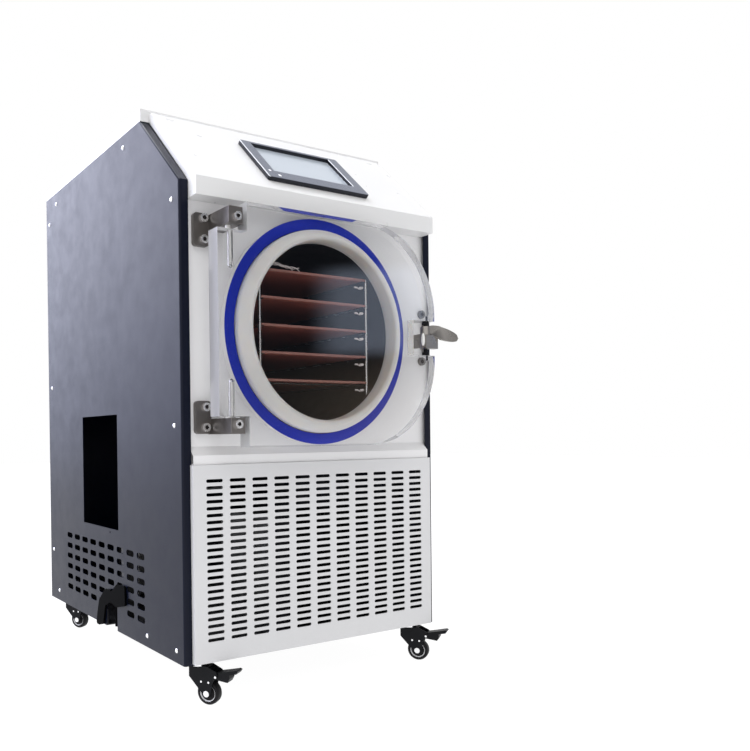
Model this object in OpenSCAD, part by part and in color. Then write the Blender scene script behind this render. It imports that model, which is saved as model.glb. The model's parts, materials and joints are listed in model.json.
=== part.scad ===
// Floor-standing laboratory freeze dryer: a sheet-metal cabinet on four casters with a round
// vacuum chamber behind a hinged clear acrylic door, five heated shelves, a sloped touch panel
// and a refrigeration set behind a slotted front panel.
// Millimetres. +Z up, the door faces -Y, the origin is on the floor at the middle of the footprint.
// Modules work in the cabinet's own frame: x = 0 on its centre plane, y = 0 on the front flanges
// (rearwards positive), z = 0 on the lower edge. cab() carries that frame to its place.

/* [Cabinet] */
// Width over the side panels
cab_w = 700; // [640:1:860]
// Depth of the side panels
cab_d = 830; // [700:1:1000]
// Height of the side panels
cab_h = 1167; // [1100:1:1400]
// Depth of the sloped corner, also its height (45 degrees)
slope_run = 179; // [160:1:210]
// Thickness of the cabinet's sheet steel
sheet = 2; // [1.5:0.1:3]
// Width of the side panels' folded front flange
flange_w = 21; // [15:1:26]
// Height of the top cover's skirt
cover_h = 28; // [20:1:40]
// How far the front panel stands behind the flanges
panel_set = 10; // [8:1:16]

/* [Front panels] */
// Top of the vent panel
vent_top = 409; // [380:1:430]
// How far the vent panel stands in front of the flanges
vent_proud = 12; // [8:1:20]
// Columns of slots in the vent panel
vent_cols = 11; // [8:1:12]
// Rows of slots in the vent panel
vent_rows = 24; // [16:1:25]
// Distance between the columns
vent_px = 56.3; // [50:0.1:57]
// Distance between the rows
vent_pz = 14.2; // [12:0.1:15]
// Length of a slot
vent_len = 40; // [30:1:44]
// Height of a slot
vent_slot = 7; // [5:0.5:9]
// Height of the sloped sill above the vent panel
sill_h = 18; // [14:1:20]
// Straight band below the sill
band_h = 19; // [12:1:24]

/* [Control hood] */
// How far the hood stands out of the slope
hood_rise = 23.5; // [16:0.5:30]
// How far the hood's lip stands in front of the flanges
hood_lip = 32; // [24:1:40]
// Height of the underside of the lip
hood_low = 951; // [940:1:965]
// Width of the touch panel
hmi_w = 280; // [240:1:300]
// Height of the touch panel, along the slope
hmi_h = 170; // [140:1:176]
// Distance of the touch panel's centre up the slope
hmi_s = 99; // [92:1:120]
// Width of its display
lcd_w = 224; // [180:1:230]
// Height of its display
lcd_h = 128; // [90:1:130]

/* [Chamber] */
// Chamber axis, left of the cabinet's centre plane
bore_x = -12; // [-60:1:0]
// Chamber axis above the cabinet's lower edge
bore_z = 694; // [692:1:710]
// Inner radius of the chamber
bore_r = 208; // [198:1:212]
// Radius of the door opening through the gasket
mouth_r = 195; // [188:1:196]
// Outer radius of the cream door gasket
gasket_r = 228.5; // [222:0.5:230]
// Outer radius of the blue ring
blue_r = 247.5; // [240:0.5:247.5]
// Depth of the chamber's straight wall
bore_d = 500; // [420:5:560]
// Number of shelves
shelf_n = 5; // [5:1:5]
// Distance from shelf to shelf
shelf_pitch = 59.2; // [45:0.1:60]
// Width of a shelf
shelf_w = 290; // [260:1:294]
// Depth of a shelf
shelf_d = 430; // [360:5:470]
// Height of the top shelf's upper face above the chamber axis
shelf_top = 132.5; // [120:0.5:134]

/* [Door] */
// Thickness of the acrylic door
door_t = 35; // [25:1:40]
// Gap between the flanges' plane and the door's rear face
door_out = 42; // [36:0.5:56]
// Left edge of the door, from the centre plane
door_left = -307; // [-315:1:-300]
// Right edge of the door, from the centre plane
door_right = 283; // [276:1:290]
// Top edge of the door
door_top = 936; // [925:1:945]
// Bottom edge of the door
door_low = 444; // [435:1:452]
// Radius of the door's right corners
door_r = 195; // [150:5:220]
// Height of the notch for each hinge
notch_h = 60; // [54:1:70]
// Width of the notches for the hinges
notch_w = 70; // [66:1:80]
// Door hinge axis, from the centre plane
hinge_x = -271; // [-274:1:-266]
// Radius of the hinge pins
pin_r = 6; // [5:0.5:7]
// Depth of the pin holes in the acrylic
pin_deep = 72; // [50:1:80]

/* [Latch] */
// Latch pin, from the centre plane
latch_x = 264; // [258:1:266]
// Middle of the latch notch
latch_z = 689; // [680:1:700]
// Height of the latch notch
latch_h = 80; // [70:1:90]
// Width of the latch notch
latch_w = 67; // [60:1:76]
// Radius of the latch pin
latch_r = 4; // [3:0.5:5]
// Length of the lever blade from the pin
lever_l = 86; // [60:1:88]
// Angle of the lever towards the front
lever_turn = 17; // [10:1:25]

/* [Side openings] */
// Window in the left side, from the flanges: front edge
win_y = 328; // [300:1:360]
// Width of the window
win_w = 229; // [180:1:260]
// Lower edge of the window
win_z = 244; // [236:1:260]
// Height of the window
win_h = 278; // [200:1:300]
// Columns of side vents
side_cols = 9; // [6:1:9]
// Rows of side vents
side_rows = 6; // [4:1:6]
// Distance between the columns
side_py = 57.7; // [52:0.1:60]
// Distance between the rows
side_pz = 28.5; // [24:0.5:30]
// Length of a side vent
side_len = 41; // [30:1:46]
// Height of a side vent
side_slot = 14; // [8:1:18]
// Centre of the first side vent, from the flanges
side_y = 205; // [190:1:220]

/* [Casters] */
// Height of the cabinet's lower edge above the floor
lift = 90; // [86:1:110]
// Radius of the wheels
wheel_r = 25; // [20:1:28]
// Width of the wheels
wheel_w = 22; // [16:1:24]
// Offset of the wheel's axle from the swivel axis
trail = 27; // [22:1:30]
// Swivel axes, in from the side panels' outer faces
inset_x = 51; // [45:1:60]
// Swivel axes, in from the front and rear of the side panels
inset_y = 36; // [34:1:60]
// Direction in which the casters trail, from +X
trail_turn = -58; // [-80:1:-40]

/* [Hidden] */
$fn = 64;
eps = 0.5;            // overlap of a cut past the face that it leaves
gap = 0.3;            // space between bodies that move past each other
fit = 0.05;           // radial clearance of a running fit
side = cab_w / 2;     // outer face of a side panel, from the centre plane
slope_z = cab_h - slope_run;
seat = sqrt(2);       // a step along the 45-degree slope, per step in y or z
port_out = 40;        // vacuum port, out of the back panel
knob_out = 6;         // drain valve's handle, out of the left side panel
blade_t = 5;          // thickness of the lever blade
blade_set = 8;        // middle of the blade, ahead of the latch pin
door_y = -door_out;   // rear face of the door
front_out = door_out + door_t - 10 + lever_l * sin(lever_turn)
    + (blade_set + blade_t / 2) * cos(lever_turn);
front_y = (front_out - cab_d - port_out) / 2;

// The cabinet's own frame in the part's frame.
module cab() {
    translate([0, front_y, lift]) children();
}

// Sheet of thickness t from x = 0, with its outline drawn in (y, z).
module across(t) {
    rotate([90, 0, 90]) linear_extrude(t) children();
}

// Sheet of thickness t from y = 0 rearwards, with its outline drawn in (x, z).
module upright(t) {
    translate([0, t, 0]) rotate([90, 0, 0]) linear_extrude(t) children();
}

// Outline of a slot of length l and height h with round ends.
module slot(l, h) {
    square([l - h, h], center = true);
    for (s = [-1, 1]) translate([s * (l - h) / 2, 0]) circle(h / 2, $fn = 24);
}

// Rectangle of size w by h, centred, with corners of radius r.
module round_rect(w, h, r) {
    square([w - 2 * r, h], center = true);
    square([w, h - 2 * r], center = true);
    for (i = [-1, 1], k = [-1, 1])
        translate([i * (w / 2 - r), k * (h / 2 - r)]) circle(r, $fn = 32);
}

// Round bar along y from the point at, of radius r.
module bar_y(at, r, l) {
    translate(at) rotate([-90, 0, 0]) cylinder(l, r, r);
}

// Round bar along x from the point at, of radius r.
module bar_x(at, r, l) {
    translate(at) rotate([0, 90, 0]) cylinder(l, r, r);
}

// ---- Frame and casing ---------------------------------------------------------------------

angle_w = 30;         // leg of the frame's angle bars
angle_t = 3;          // thickness of the angle bars
tray_h = 40;          // height of the base tray's folded rim
frame_x = side - sheet - gap;   // outer face of the frame
foam_r = 245;                   // outer radius of the chamber's insulation
rail_z = bore_z - foam_r - gap; // top of the two cross rails that carry the chamber
rail_y = [110, 292];            // the cross rails, ahead of the side window

// Angle bar of height h whose outer corner is at the origin, with its legs towards sx and sy.
module post(h, sx, sy) {
    for (leg = [[angle_w, angle_t], [angle_t, angle_w]])
        translate([sx < 0 ? -leg[0] : 0, sy < 0 ? -leg[1] : 0, 0]) cube([leg[0], leg[1], h]);
}

frame_front = panel_set + sheet;        // front faces of the frame and tray
frame_back = cab_d - sheet - gap;       // their rear faces
post_foot = sheet;    // the posts stand on the tray's floor

// Folded tray that closes the cabinet's bottom, notched for the drain valve.
module base_tray() {
    deep = frame_back - frame_front;
    cab() color("dimgray") difference() {
        translate([-frame_x, frame_front, 0]) cube([2 * frame_x, deep, tray_h]);
        translate([-frame_x + sheet, frame_front + sheet, sheet])
            cube([2 * (frame_x - sheet), deep - 2 * sheet, tray_h]);
        translate([-frame_x - eps, notch_y, -eps]) cube([notch_in, notch_l, tray_h + 2 * eps]);
    }
}

// Welded frame of one side: front and rear posts, a top rail that follows the slope, and the
// two short posts that carry the cross rails. s is 1 at the right, -1 at the left.
module side_frame(s) {
    x = frame_x - sheet;
    front = frame_front + keeper_t + 1;  // clear of the keeper's plate
    back = frame_back - sheet;
    low = slope_z - 30;                  // front post's top, under the slope
    high = cab_h - sheet;
    cab() color("dimgray") {
        translate([s * x, front, post_foot]) post(low, -s, 1);
        translate([s * x, back, post_foot]) post(high - post_foot, -s, -1);
        translate([s > 0 ? x - angle_t : -x, front, 0]) across(angle_t)
            polygon([[0, low - 30], [angle_w, low - 30],
                     [slope_run + angle_w - front, high - angle_w],
                     [back - front, high - angle_w], [back - front, high],
                     [slope_run - front + 10, high], [0, low]]);
        for (y = rail_y) translate([s * x, y, post_foot]) post(rail_z - angle_w - post_foot, -s, 1);
        translate([s > 0 ? x - angle_t : -x, rail_y[0], rail_z - 2 * angle_w])
            cube([angle_t, rail_y[1] + angle_w - rail_y[0], angle_w]);
        translate([s > 0 ? x - angle_t : -x, front, rail_z - 2 * angle_w])
            cube([angle_t, rail_y[0] - front + eps, angle_w]);
    }
}

module frame_left() {
    side_frame(-1);
}

module frame_right() {
    side_frame(1);
}

// Two angle bars across the cabinet that carry the chamber.
module cross_rails() {
    x = frame_x - sheet;
    cab() color("dimgray") for (y = rail_y) {
        translate([-x, y, rail_z - angle_w]) cube([2 * x, angle_t, angle_w]);
        translate([-x, y, rail_z - angle_w]) cube([2 * x, angle_w, angle_t]);
    }
}

side_z = 198;         // centre of the upper row of side vents
notch_y = 341;        // front edge of the drain valve's notch
notch_l = 68;         // length of the notch
notch_top = 92;       // height of the notch
notch_in = 70;        // depth of the notch in the base tray

// Outline of a side panel in (y, z).
module side_outline() {
    polygon([[0, 0], [cab_d, 0], [cab_d, cab_h], [slope_run, cab_h], [0, slope_z]]);
}

// Rows of vents, left out round the notch where skip is true.
module side_vents(skip) {
    for (i = [0:side_cols - 1], k = [0:side_rows - 1]) {
        y = side_y + i * side_py;
        z = side_z - k * side_pz;
        half = side_len / 2 + 4;
        if (!skip || y + half < notch_y || y - half > notch_y + notch_l || z > notch_top + side_slot)
            translate([y, z]) slot(side_len, side_slot);
    }
}

// Places of the casing screws on a side panel, as (y, z).
side_screws = [[33, 490], [34, slope_z - 34], [273, cab_h - 28], [744, cab_h - 31],
               [cab_d - 26, cab_h - 76], [cab_d - 29, 614], [cab_d - 26, 142],
               [cab_d - 70, 28], [175, 25], [35, 25]];
screw_hole = 2.6;     // radius of a casing screw's hole

// Side panel at the right (s = 1) or left (s = -1), with its folded flanges.
module side_panel(s) {
    fold = sheet * tan(22.5);      // shortening of the inner face at a 45-degree fold
    cab() color("#4b4f60") mirror([s < 0 ? 1 : 0, 0, 0]) {
        translate([side - sheet, 0, 0]) across(sheet) difference() {
            side_outline();
            for (p = side_screws) translate(p) circle(screw_hole, $fn = 24);
            if (s < 0) {
                translate([win_y, win_z]) square([win_w, win_h]);
                translate([380, win_z - 9]) circle(screw_hole, $fn = 24);
                translate([notch_y, -eps]) square([notch_l, notch_top + eps]);
            }
            side_vents(s < 0);
        }
        translate([side - flange_w, 0, 0]) across(flange_w) polygon([
            [0, 0], [0, slope_z], [slope_run, cab_h], [cab_d - 22, cab_h], [cab_d - 22, cab_h - sheet],
            [slope_run + fold, cab_h - sheet], [sheet, slope_z - fold], [sheet, 0]]);
    }
}

module side_panel_left() {
    side_panel(-1);
}

module side_panel_right() {
    side_panel(1);
}

// Middle of the back panel's fan grille, as (x, z).
grille = [60, 230];

module back_panel() {
    w = cab_w - 2 * sheet - 2 * gap;
    cab() color("#4b4f60") translate([0, cab_d - sheet, 0]) upright(sheet) difference() {
        translate([-w / 2, sheet]) square([w, cab_h - 2 * sheet]);
        for (r = [30:18:102], a = [0:45:359]) translate(grille) intersection() {
            difference() {
                circle(r + 4);
                circle(r - 4);
            }
            rotate(a + 4) polygon([[0, 0], [200, 0], [200, 200 * tan(37)]]);
        }
        for (k = [0:7], i = [-1:1]) translate([i * 190, 880 + k * 22]) slot(130, 8);
        translate([bore_x, bore_z]) circle(pipe_r + 8);
        translate(power_at) square([inlet_w, inlet_h], center = true);
    }
}

module top_cover() {
    front = slope_run - sheet;
    cab() color("#f2f2f4") translate([-side, front, cab_h]) difference() {
        cube([cab_w, cab_d - front, cover_h]);
        translate([sheet, sheet, -eps])
            cube([cab_w - 2 * sheet, cab_d - front - 2 * sheet, cover_h - sheet + eps]);
    }
}

hood_w = cab_w - 2 * flange_w - 1;     // width of the hood, between the flanges
hood_back = slope_run - sheet - gap;   // where the hood meets the cover

// The hood's outer outline in (y, z), drawn t inside itself, open to the rear if t > 0.
function hood_outline(t) = let (n = hood_rise - t, lip = hood_lip - t, back = t > 0 ? 30 : 0) [
    [panel_set + back, hood_low + t], [-lip, hood_low + t],
    [-lip, slope_z + n * seat - lip],
    [slope_run + 16 - t - n * seat, cab_h + 16 - t], [hood_back + back, cab_h + 16 - t],
    [hood_back + back, cab_h - 0.3 - back], [panel_set + back, slope_z + panel_set - back]];

module control_hood() {
    cab() color("#f7f7f8") difference() {
        translate([-hood_w / 2, 0, 0]) across(hood_w) polygon(hood_outline(0));
        translate([-hood_w / 2 + sheet, 0, 0]) across(hood_w - 2 * sheet) polygon(hood_outline(sheet));
        on_slope() translate([0, 0, hood_rise]) cube([hmi_w - 16, hmi_h - 16, 20], center = true);
    }
}

// Frame on the slope at the touch panel's centre: x as the part's, y up the slope, z outwards.
module on_slope() {
    translate([4, 0, slope_z]) rotate([45, 0, 0]) translate([0, hmi_s, 0]) children();
}

// Front panel with the collar round the chamber's mouth and the sloped sill above the vents.
module front_panel() {
    w = 2 * (frame_x - 1);
    sill = 2 * (side - flange_w) - 2;
    low = vent_top;
    edge = panel_set - sill_h;           // the sill slopes at 45 degrees
    cab() color("#dcdde1") {
        translate([0, panel_set, 0]) upright(sheet) difference() {
            translate([-w / 2, low]) square([w, slope_z + 3 - low]);
            translate([bore_x, bore_z]) circle(gasket_r + 4);
            for (z = concat(leaf_screw[0], leaf_screw[1])) translate([leaf_screw_x, z]) circle(shank_hole);
            for (z = keeper_screw_z) translate([keeper_x, z]) circle(shank_hole);
            translate([roller_at[0], latch_z]) square(keeper_slot, center = true);
        }
        translate([-sill / 2, 0, 0]) across(sill) polygon([
            [panel_set, low + band_h + sill_h], [edge, low + band_h], [edge, low],
            [panel_set, low], [panel_set, low + sheet], [edge + sheet, low + sheet],
            [edge + sheet, low + band_h - 1], [panel_set, low + band_h + sill_h - 3]]);
        for (s = [-1, 1])
            translate([s > 0 ? w / 2 - sheet : -w / 2, sheet + gap, low])
                cube([sheet, panel_set - sheet - gap + eps, slope_z - low - 30]);
        on_bore() ring(gasket_r + 2, blue_r - 1.5, panel_set - blue_t + 2 * blue_soft, panel_set + eps);
    }
}

module vent_panel() {
    w = 2 * (side - flange_w) + 6;
    x0 = -vent_px * (vent_cols - 1) / 2;
    cab() color("#e4e5e8") {
        translate([0, -vent_proud, 0]) upright(sheet) difference() {
            translate([-w / 2, 3]) square([w, vent_top - 3 - gap]);
            for (i = [0:vent_cols - 1], k = [0:vent_rows - 1])
                translate([x0 + i * vent_px, vent_top - 33.5 - k * vent_pz]) slot(vent_len, vent_slot);
        }
        difference() {
            translate([-w / 2, -vent_proud + sheet / 2, 3])
                cube([w, vent_proud - sheet / 2 - gap, vent_top - 3 - gap]);
            translate([-w / 2 + sheet, -vent_proud, 3 + sheet])
                cube([w - 2 * sheet, 2 * vent_proud, vent_top - 3 - gap - 2 * sheet]);
        }
    }
}

// Round-headed screw at the origin with its head towards +z, over a plate that ends at z = 0.
module screw(r, l) {
    head = r * 0.55;
    translate([0, 0, -l]) cylinder(l, screw_hole - 0.2, screw_hole - 0.2, $fn = 24);
    rotate_extrude($fn = 32) intersection() {
        translate([0, head - (r * r + head * head) / (2 * head)])
            circle((r * r + head * head) / (2 * head), $fn = 64);
        square([r, head]);
    }
}

module panel_screws() {
    cab() color("silver") {
        for (s = [-1, 1], p = side_screws)
            translate([s * side, p[0], p[1]]) rotate([0, s * 90, 0]) screw(5, 2);
    }
}

// ---- Vacuum chamber -----------------------------------------------------------------------

shell_t = 3;          // wall of the chamber
flange_back = panel_set + 6;    // where the chamber's flange ends inside the front panel
flange_face = -5;               // front of the steel flange that carries the gasket
flange_t = 8;                   // thickness of the flange's face
gasket_face = door_y + gap;     // front of the door gasket
gasket_in = 8;                  // rounding of the gasket at the mouth
gasket_out = 24;                // rounding of the gasket's outer shoulder
blue_t = 19;                    // how far the blue ring's face stands out of the front panel
blue_soft = 1;                  // rounding of the blue ring's edge, half its thickness

// Frame on the chamber's axis: z runs to the rear, from y = 0.
module on_bore() {
    translate([bore_x, 0, bore_z]) rotate([-90, 0, 0]) children();
}

// Ring round the axis with inner radius a, outer radius b, from depth y0 to y1.
module ring(a, b, y0, y1) {
    translate([0, 0, y0]) difference() {
        cylinder(y1 - y0, b, b, $fn = 128);
        translate([0, 0, -eps]) cylinder(y1 - y0 + 2 * eps, a, a, $fn = 128);
    }
}

module chamber_shell() {
    dish = 60;                     // depth of the dished end
    y1 = flange_back + bore_d;
    cab() color("#8d8f92") on_bore() {
        ring(bore_r, bore_r + shell_t, flange_face + flange_t, y1);
        difference() {
            translate([0, 0, y1]) rotate_extrude($fn = 128) polygon([
                [0, dish], [bore_r * 0.55, dish * 0.86], [bore_r * 0.86, dish * 0.52],
                [bore_r + shell_t, 0], [bore_r + shell_t, -10], [bore_r, -10], [bore_r, -1],
                [bore_r * 0.84, dish * 0.52 - 4], [bore_r * 0.53, dish * 0.86 - 4], [0, dish - 4]]);
            cylinder(y1 + dish + 1, pipe_r, pipe_r);
        }
    }
}

module chamber_flange() {
    cab() color("#9a9c9f") on_bore() {
        ring(mouth_r, gasket_r - 1, flange_face, flange_face + flange_t);
        ring(bore_r + shell_t, gasket_r - 1, flange_face + flange_t, flange_back);
    }
}

// Thick silicone ring on the flange: its shoulder rises to a narrow crest that meets the door.
module door_gasket() {
    y0 = gasket_face;
    crest = gasket_r - gasket_out;       // radius where the shoulder begins
    cab() color("#cfcdc4") on_bore() rotate_extrude($fn = 128) difference() {
        union() {
            translate([mouth_r, y0 + gasket_out])
                square([gasket_r - mouth_r, flange_face - y0 - gasket_out]);
            translate([mouth_r, y0]) square([crest - mouth_r, gasket_out + eps]);
            intersection() {
                translate([crest, y0 + gasket_out]) circle(gasket_out);
                translate([crest - eps, y0]) square([gasket_out + 1, gasket_out + eps]);
            }
        }
        difference() {
            translate([mouth_r - eps, y0 - eps]) square([gasket_in + eps, gasket_in + eps]);
            translate([mouth_r + gasket_in, y0 + gasket_in]) circle(gasket_in);
        }
    }
}

// Flat silicone ring on the front edge of the front panel's collar.
module blue_ring() {
    inner = gasket_r + 2;
    edge = blue_r - blue_soft;
    cab() color("#1c2fb5") on_bore() rotate_extrude($fn = 128) translate([0, panel_set - blue_t]) {
        translate([inner, 0]) square([edge - inner, 2 * blue_soft]);
        translate([edge, blue_soft]) circle(blue_soft);
    }
}

module insulation() {
    cab() color("#1b1b1d") on_bore() difference() {
        ring(bore_r + shell_t + fit, foam_r, flange_back + gap, flange_back + bore_d - 20);
        translate([0, 0, valve_at[0]]) rotate([-90, 0, 0]) cylinder(300, drain_r + gap, drain_r + gap);
    }
}

rack_y = 7;           // front of the shelves, behind the chamber's mouth
rod_r = 3;            // radius of the rack's uprights
shelf_t = 3;          // thickness of a shelf plate
lip_h = 5;            // height of a shelf's folded lip
lip_t = 2;            // thickness of the lip
ledge_t = 2;          // thickness of the ledges under the shelves

// Upper face of shelf i, the lowest one being 1.
function shelf_z(i) = bore_z + shelf_top - (shelf_n - i) * shelf_pitch;

// Four uprights with a ledge on each side of every shelf, tied together under the lowest one.
module shelf_rack() {
    low = bore_z - sqrt(bore_r * bore_r - pow(shelf_w / 2 + 2 * rod_r + 1, 2)) + gap;
    high = shelf_z(shelf_n);
    rod_x = shelf_w / 2 + rod_r + gap;
    tie_z = shelf_z(1) - lip_h - ledge_t - 1.5;
    cab() color("silver") {
        for (s = [-1, 1], y = [rod_r, shelf_d - rod_r - gap])
            translate([bore_x + s * rod_x, rack_y + y, low]) cylinder(high - low, rod_r, rod_r, $fn = 32);
        for (s = [-1, 1]) bar_y([bore_x + s * rod_x, rack_y + 1, tie_z], rod_r - 0.5, shelf_d - 2);
        for (y = [14, shelf_d - 14])
            bar_x([bore_x - rod_x, rack_y + y, tie_z], rod_r - 1, 2 * rod_x);
        for (i = [1:shelf_n], s = [-1, 1])
            translate([bore_x + s * (rod_x - 4) - 6, rack_y + 1, shelf_z(i) - lip_h - ledge_t])
                cube([12, shelf_d - 2, ledge_t]);
    }
}

// Heated shelf: a plate with a lip folded down round its edge.
module shelf(i) {
    cab() color("#a8683f") translate([bore_x - shelf_w / 2, rack_y, shelf_z(i) - lip_h]) {
        translate([0, 0, lip_h - shelf_t]) cube([shelf_w, shelf_d, shelf_t]);
        for (y = [0, shelf_d - lip_t]) translate([0, y, 0]) cube([shelf_w, lip_t, lip_h]);
        for (x = [0, shelf_w - lip_t]) translate([x, 0, 0]) cube([lip_t, shelf_d, lip_h]);
    }
}

module shelf_1() {
    shelf(1);
}

module shelf_2() {
    shelf(2);
}

module shelf_3() {
    shelf(3);
}

module shelf_4() {
    shelf(4);
}

module shelf_5() {
    shelf(5);
}

// Silicone heating mats, one stuck under each shelf plate.
module heater_mats() {
    m = 8;                               // bare rim of the shelf round its mat
    cab() color("#b5472a") for (i = [1:shelf_n])
        translate([bore_x - shelf_w / 2 + m, rack_y + m, shelf_z(i) - shelf_t - 2])
            cube([shelf_w - 2 * m, shelf_d - 2 * m, 2]);
}

// ---- Refrigeration set and services -------------------------------------------------------

comp_at = [-120, 620];     // compressor, as (x, y)
comp_r = 95;               // radius of the compressor's can
tray_top = sheet;          // inner floor of the base tray

// Hermetic compressor: a domed steel can with a seam flange, on a foot plate.
module compressor() {
    cab() color("#1d1e20") translate([comp_at[0], comp_at[1], tray_top]) {
        translate([-105, -75, 18]) cube([210, 150, 4]);
        for (x = [-90, 90], y = [-60, 60]) translate([x, y, 0]) cylinder(18, 14, 14, $fn = 32);
        translate([0, 0, 22]) rotate_extrude($fn = 96) polygon([
            [0, 0], [comp_r - 25, 0], [comp_r - 6, 12], [comp_r, 30], [comp_r, 96],
            [comp_r + 6, 96], [comp_r + 6, 104], [comp_r, 104], [comp_r, 150],
            [comp_r - 8, 180], [comp_r - 32, 200], [0, 208]]);
    }
}

coil_at = [-60, 40];       // condenser, left front corner of its box as (x, y)
coil_w = 300;              // width of the condenser
coil_t = 56;               // depth of the condenser
coil_h = 300;              // height of the condenser
fin_pitch = 12;            // distance between fins

// Finned condenser: end plates, fins and the cross tubes through them.
module condenser() {
    cab() color("#8f9296") translate([coil_at[0], coil_at[1], tray_top]) {
        for (x = [0, coil_w - 3]) translate([x, 0, 0]) cube([3, coil_t, coil_h]);
        for (z = [0, coil_h - 2]) translate([0, 0, z]) cube([coil_w, coil_t, 2]);
        for (x = [fin_pitch:fin_pitch:coil_w - fin_pitch])
            translate([x, 4, 2]) cube([1, coil_t - 8, coil_h - 4]);
        for (k = [0:6]) bar_x([0, coil_t / 2, 30 + k * 40], 5, coil_w);
    }
}

fan_r = 118;               // radius of the fan blades
fan_mid = [coil_at[0] + coil_w / 2, coil_at[1] + coil_t, tray_top + coil_h / 2];
shroud_d = 60;             // depth of the fan shroud
fan_gap = 6;               // blade tips to the shroud's ring

module fan_shroud() {
    ring_r = fan_r + fan_gap;
    cab() color("#33353a") translate([fan_mid[0], fan_mid[1], tray_top]) {
        upright(sheet) difference() {
            translate([-coil_w / 2, 0]) square([coil_w, coil_h]);
            translate([0, coil_h / 2]) circle(ring_r + 1);
        }
        translate([0, 0, coil_h / 2]) rotate([-90, 0, 0]) ring(ring_r, ring_r + 3, 0, shroud_d);
        for (a = [45:90:359]) translate([0, shroud_d - 5, coil_h / 2]) rotate([0, a, 0])
            translate([34, 0, -5]) cube([ring_r - 32.5, 4, 10]);
        translate([0, shroud_d - 6, coil_h / 2]) rotate([-90, 0, 0]) ring(30, 38, 0, 6);
    }
}

shaft_r = 4;               // radius of the fan motor's shaft

module fan_motor() {
    cab() color("#3c3f44") translate([fan_mid[0], fan_mid[1], fan_mid[2]]) {
        bar_y([0, shroud_d - 16, 0], 30, 66);
        bar_y([0, 12, 0], shaft_r, shroud_d - 16);
    }
}

module fan_blades() {
    cab() color("#a7abb0") translate([fan_mid[0], fan_mid[1], fan_mid[2]]) difference() {
        union() {
            bar_y([0, 16, 0], 22, 22);
            for (a = [0:72:359]) rotate([0, a, 0]) translate([0, 27, 0])
                rotate([28, 0, 0]) translate([18, -1.5, -18])
                    linear_extrude(36) square([fan_r - 24, 3]);
        }
        bar_y([0, 0, 0], shaft_r + fit, 60);
    }
}

module electric_box() {
    cab() color("#c9ccd0") translate([120, 330, tray_top]) difference() {
        cube([190, 300, 240]);
        translate([3, 3, 3]) cube([184, 294, 240]);
    }
}

pipe_bore = 12;            // radius of the vacuum line's bore
pipe_r = 14;               // outer radius of the vacuum line
port_r = 20;               // radius of the vacuum port's flange

// Vacuum line from the chamber's dished end to a clamp-type port behind the back panel.
module vacuum_pipe() {
    y0 = flange_back + bore_d + 60;
    y1 = cab_d + port_out;
    cab() color("#a9abae") on_bore() rotate_extrude($fn = 64) polygon([
        [pipe_bore, y0 - 4], [pipe_r, y0 - 4], [pipe_r, y1 - 10], [port_r, y1 - 4],
        [port_r, y1], [pipe_bore, y1]]);
}

valve_at = [375, 77];      // drain valve's axis, as (y, z)
valve_r = 15;              // radius of the valve's barrel

drain_r = 6;               // radius of the drain line
drain_x = -side + 70;      // where the line drops to the valve
drain_z = 330;             // height of the line's cross run

// Drain line from the chamber's lowest point down to the valve at the left side.
module drain_pipe() {
    top = bore_z - bore_r - shell_t;
    cab() color("#b9bbbe") translate([0, valve_at[0], 0]) {
        translate([bore_x, 0, drain_z]) cylinder(top - drain_z, drain_r, drain_r, $fn = 32);
        bar_x([drain_x, 0, drain_z], drain_r, bore_x - drain_x);
        translate([drain_x, 0, valve_at[1]]) cylinder(drain_z - valve_at[1], drain_r, drain_r, $fn = 32);
        for (at = [[bore_x, drain_z], [drain_x, drain_z], [drain_x, valve_at[1]]])
            translate([at[0], 0, at[1]]) sphere(drain_r + 2, $fn = 48);
        bar_x([-side + 45, 0, valve_at[1]], drain_r - 1, drain_x + side - 45);
    }
}

power_at = [-220, 150];    // mains inlet on the back panel, as (x, z)
inlet_w = 30;              // cut-out for the inlet
inlet_h = 60;
rocker_up = 15;            // rocker above the middle of the inlet
rocker_y = 1;              // rocker's pivot behind the back panel's outer face
rocker_turn = 8;           // rocker's tilt each way

// Moulded mains inlet: a flanged housing with the socket below and a well for the rocker.
module power_inlet() {
    cab() color("#18181a") translate([power_at[0], cab_d, power_at[1]]) difference() {
        union() {
            upright(4) round_rect(inlet_w + 18, inlet_h + 12, 4);
            translate([-inlet_w / 2 + gap, -24, -inlet_h / 2 + gap])
                cube([inlet_w - 2 * gap, 26, inlet_h - 2 * gap]);
        }
        translate([-11, -16, -24]) cube([22, 30, 18]);
        translate([-9, -11, rocker_up - 12.5]) cube([18, 30, 25]);
        bar_x([-11, rocker_y, rocker_up], 1.5 + fit, 22);
    }
}

// Rocker with its two trunnions, at rest tipped to the off side.
module power_switch() {
    cab() color("#b3261e") translate([power_at[0], cab_d + rocker_y, power_at[1] + rocker_up]) {
        translate([-8.5, 0, 0]) rotate([-rocker_turn, 0, 0]) across(17)
            polygon([[-6, -7], [5, -10.5], [3, 0], [5, 10.5], [-6, 7]]);
        bar_x([-10.5, 0, 0], 1.5, 21);
    }
}

// ---- Touch panel --------------------------------------------------------------------------

bezel_t = 10;              // how far the bezel stands out of the hood
lcd_up = 12;               // display above the bezel's middle
lcd_t = 1.2;               // thickness of the display
lcd_deep = 9;              // depth of the display's recess

module hmi_bezel() {
    cab() color("#23262c") on_slope() translate([0, 0, hood_rise]) difference() {
        union() {
            translate([0, 0, gap]) linear_extrude(bezel_t) round_rect(hmi_w, hmi_h, 5);
            translate([0, 0, -32]) linear_extrude(33) square([hmi_w - 18, hmi_h - 18], center = true);
        }
        translate([0, lcd_up, bezel_t - lcd_deep]) linear_extrude(2 * lcd_deep)
            square([lcd_w, lcd_h], center = true);
    }
}

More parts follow.
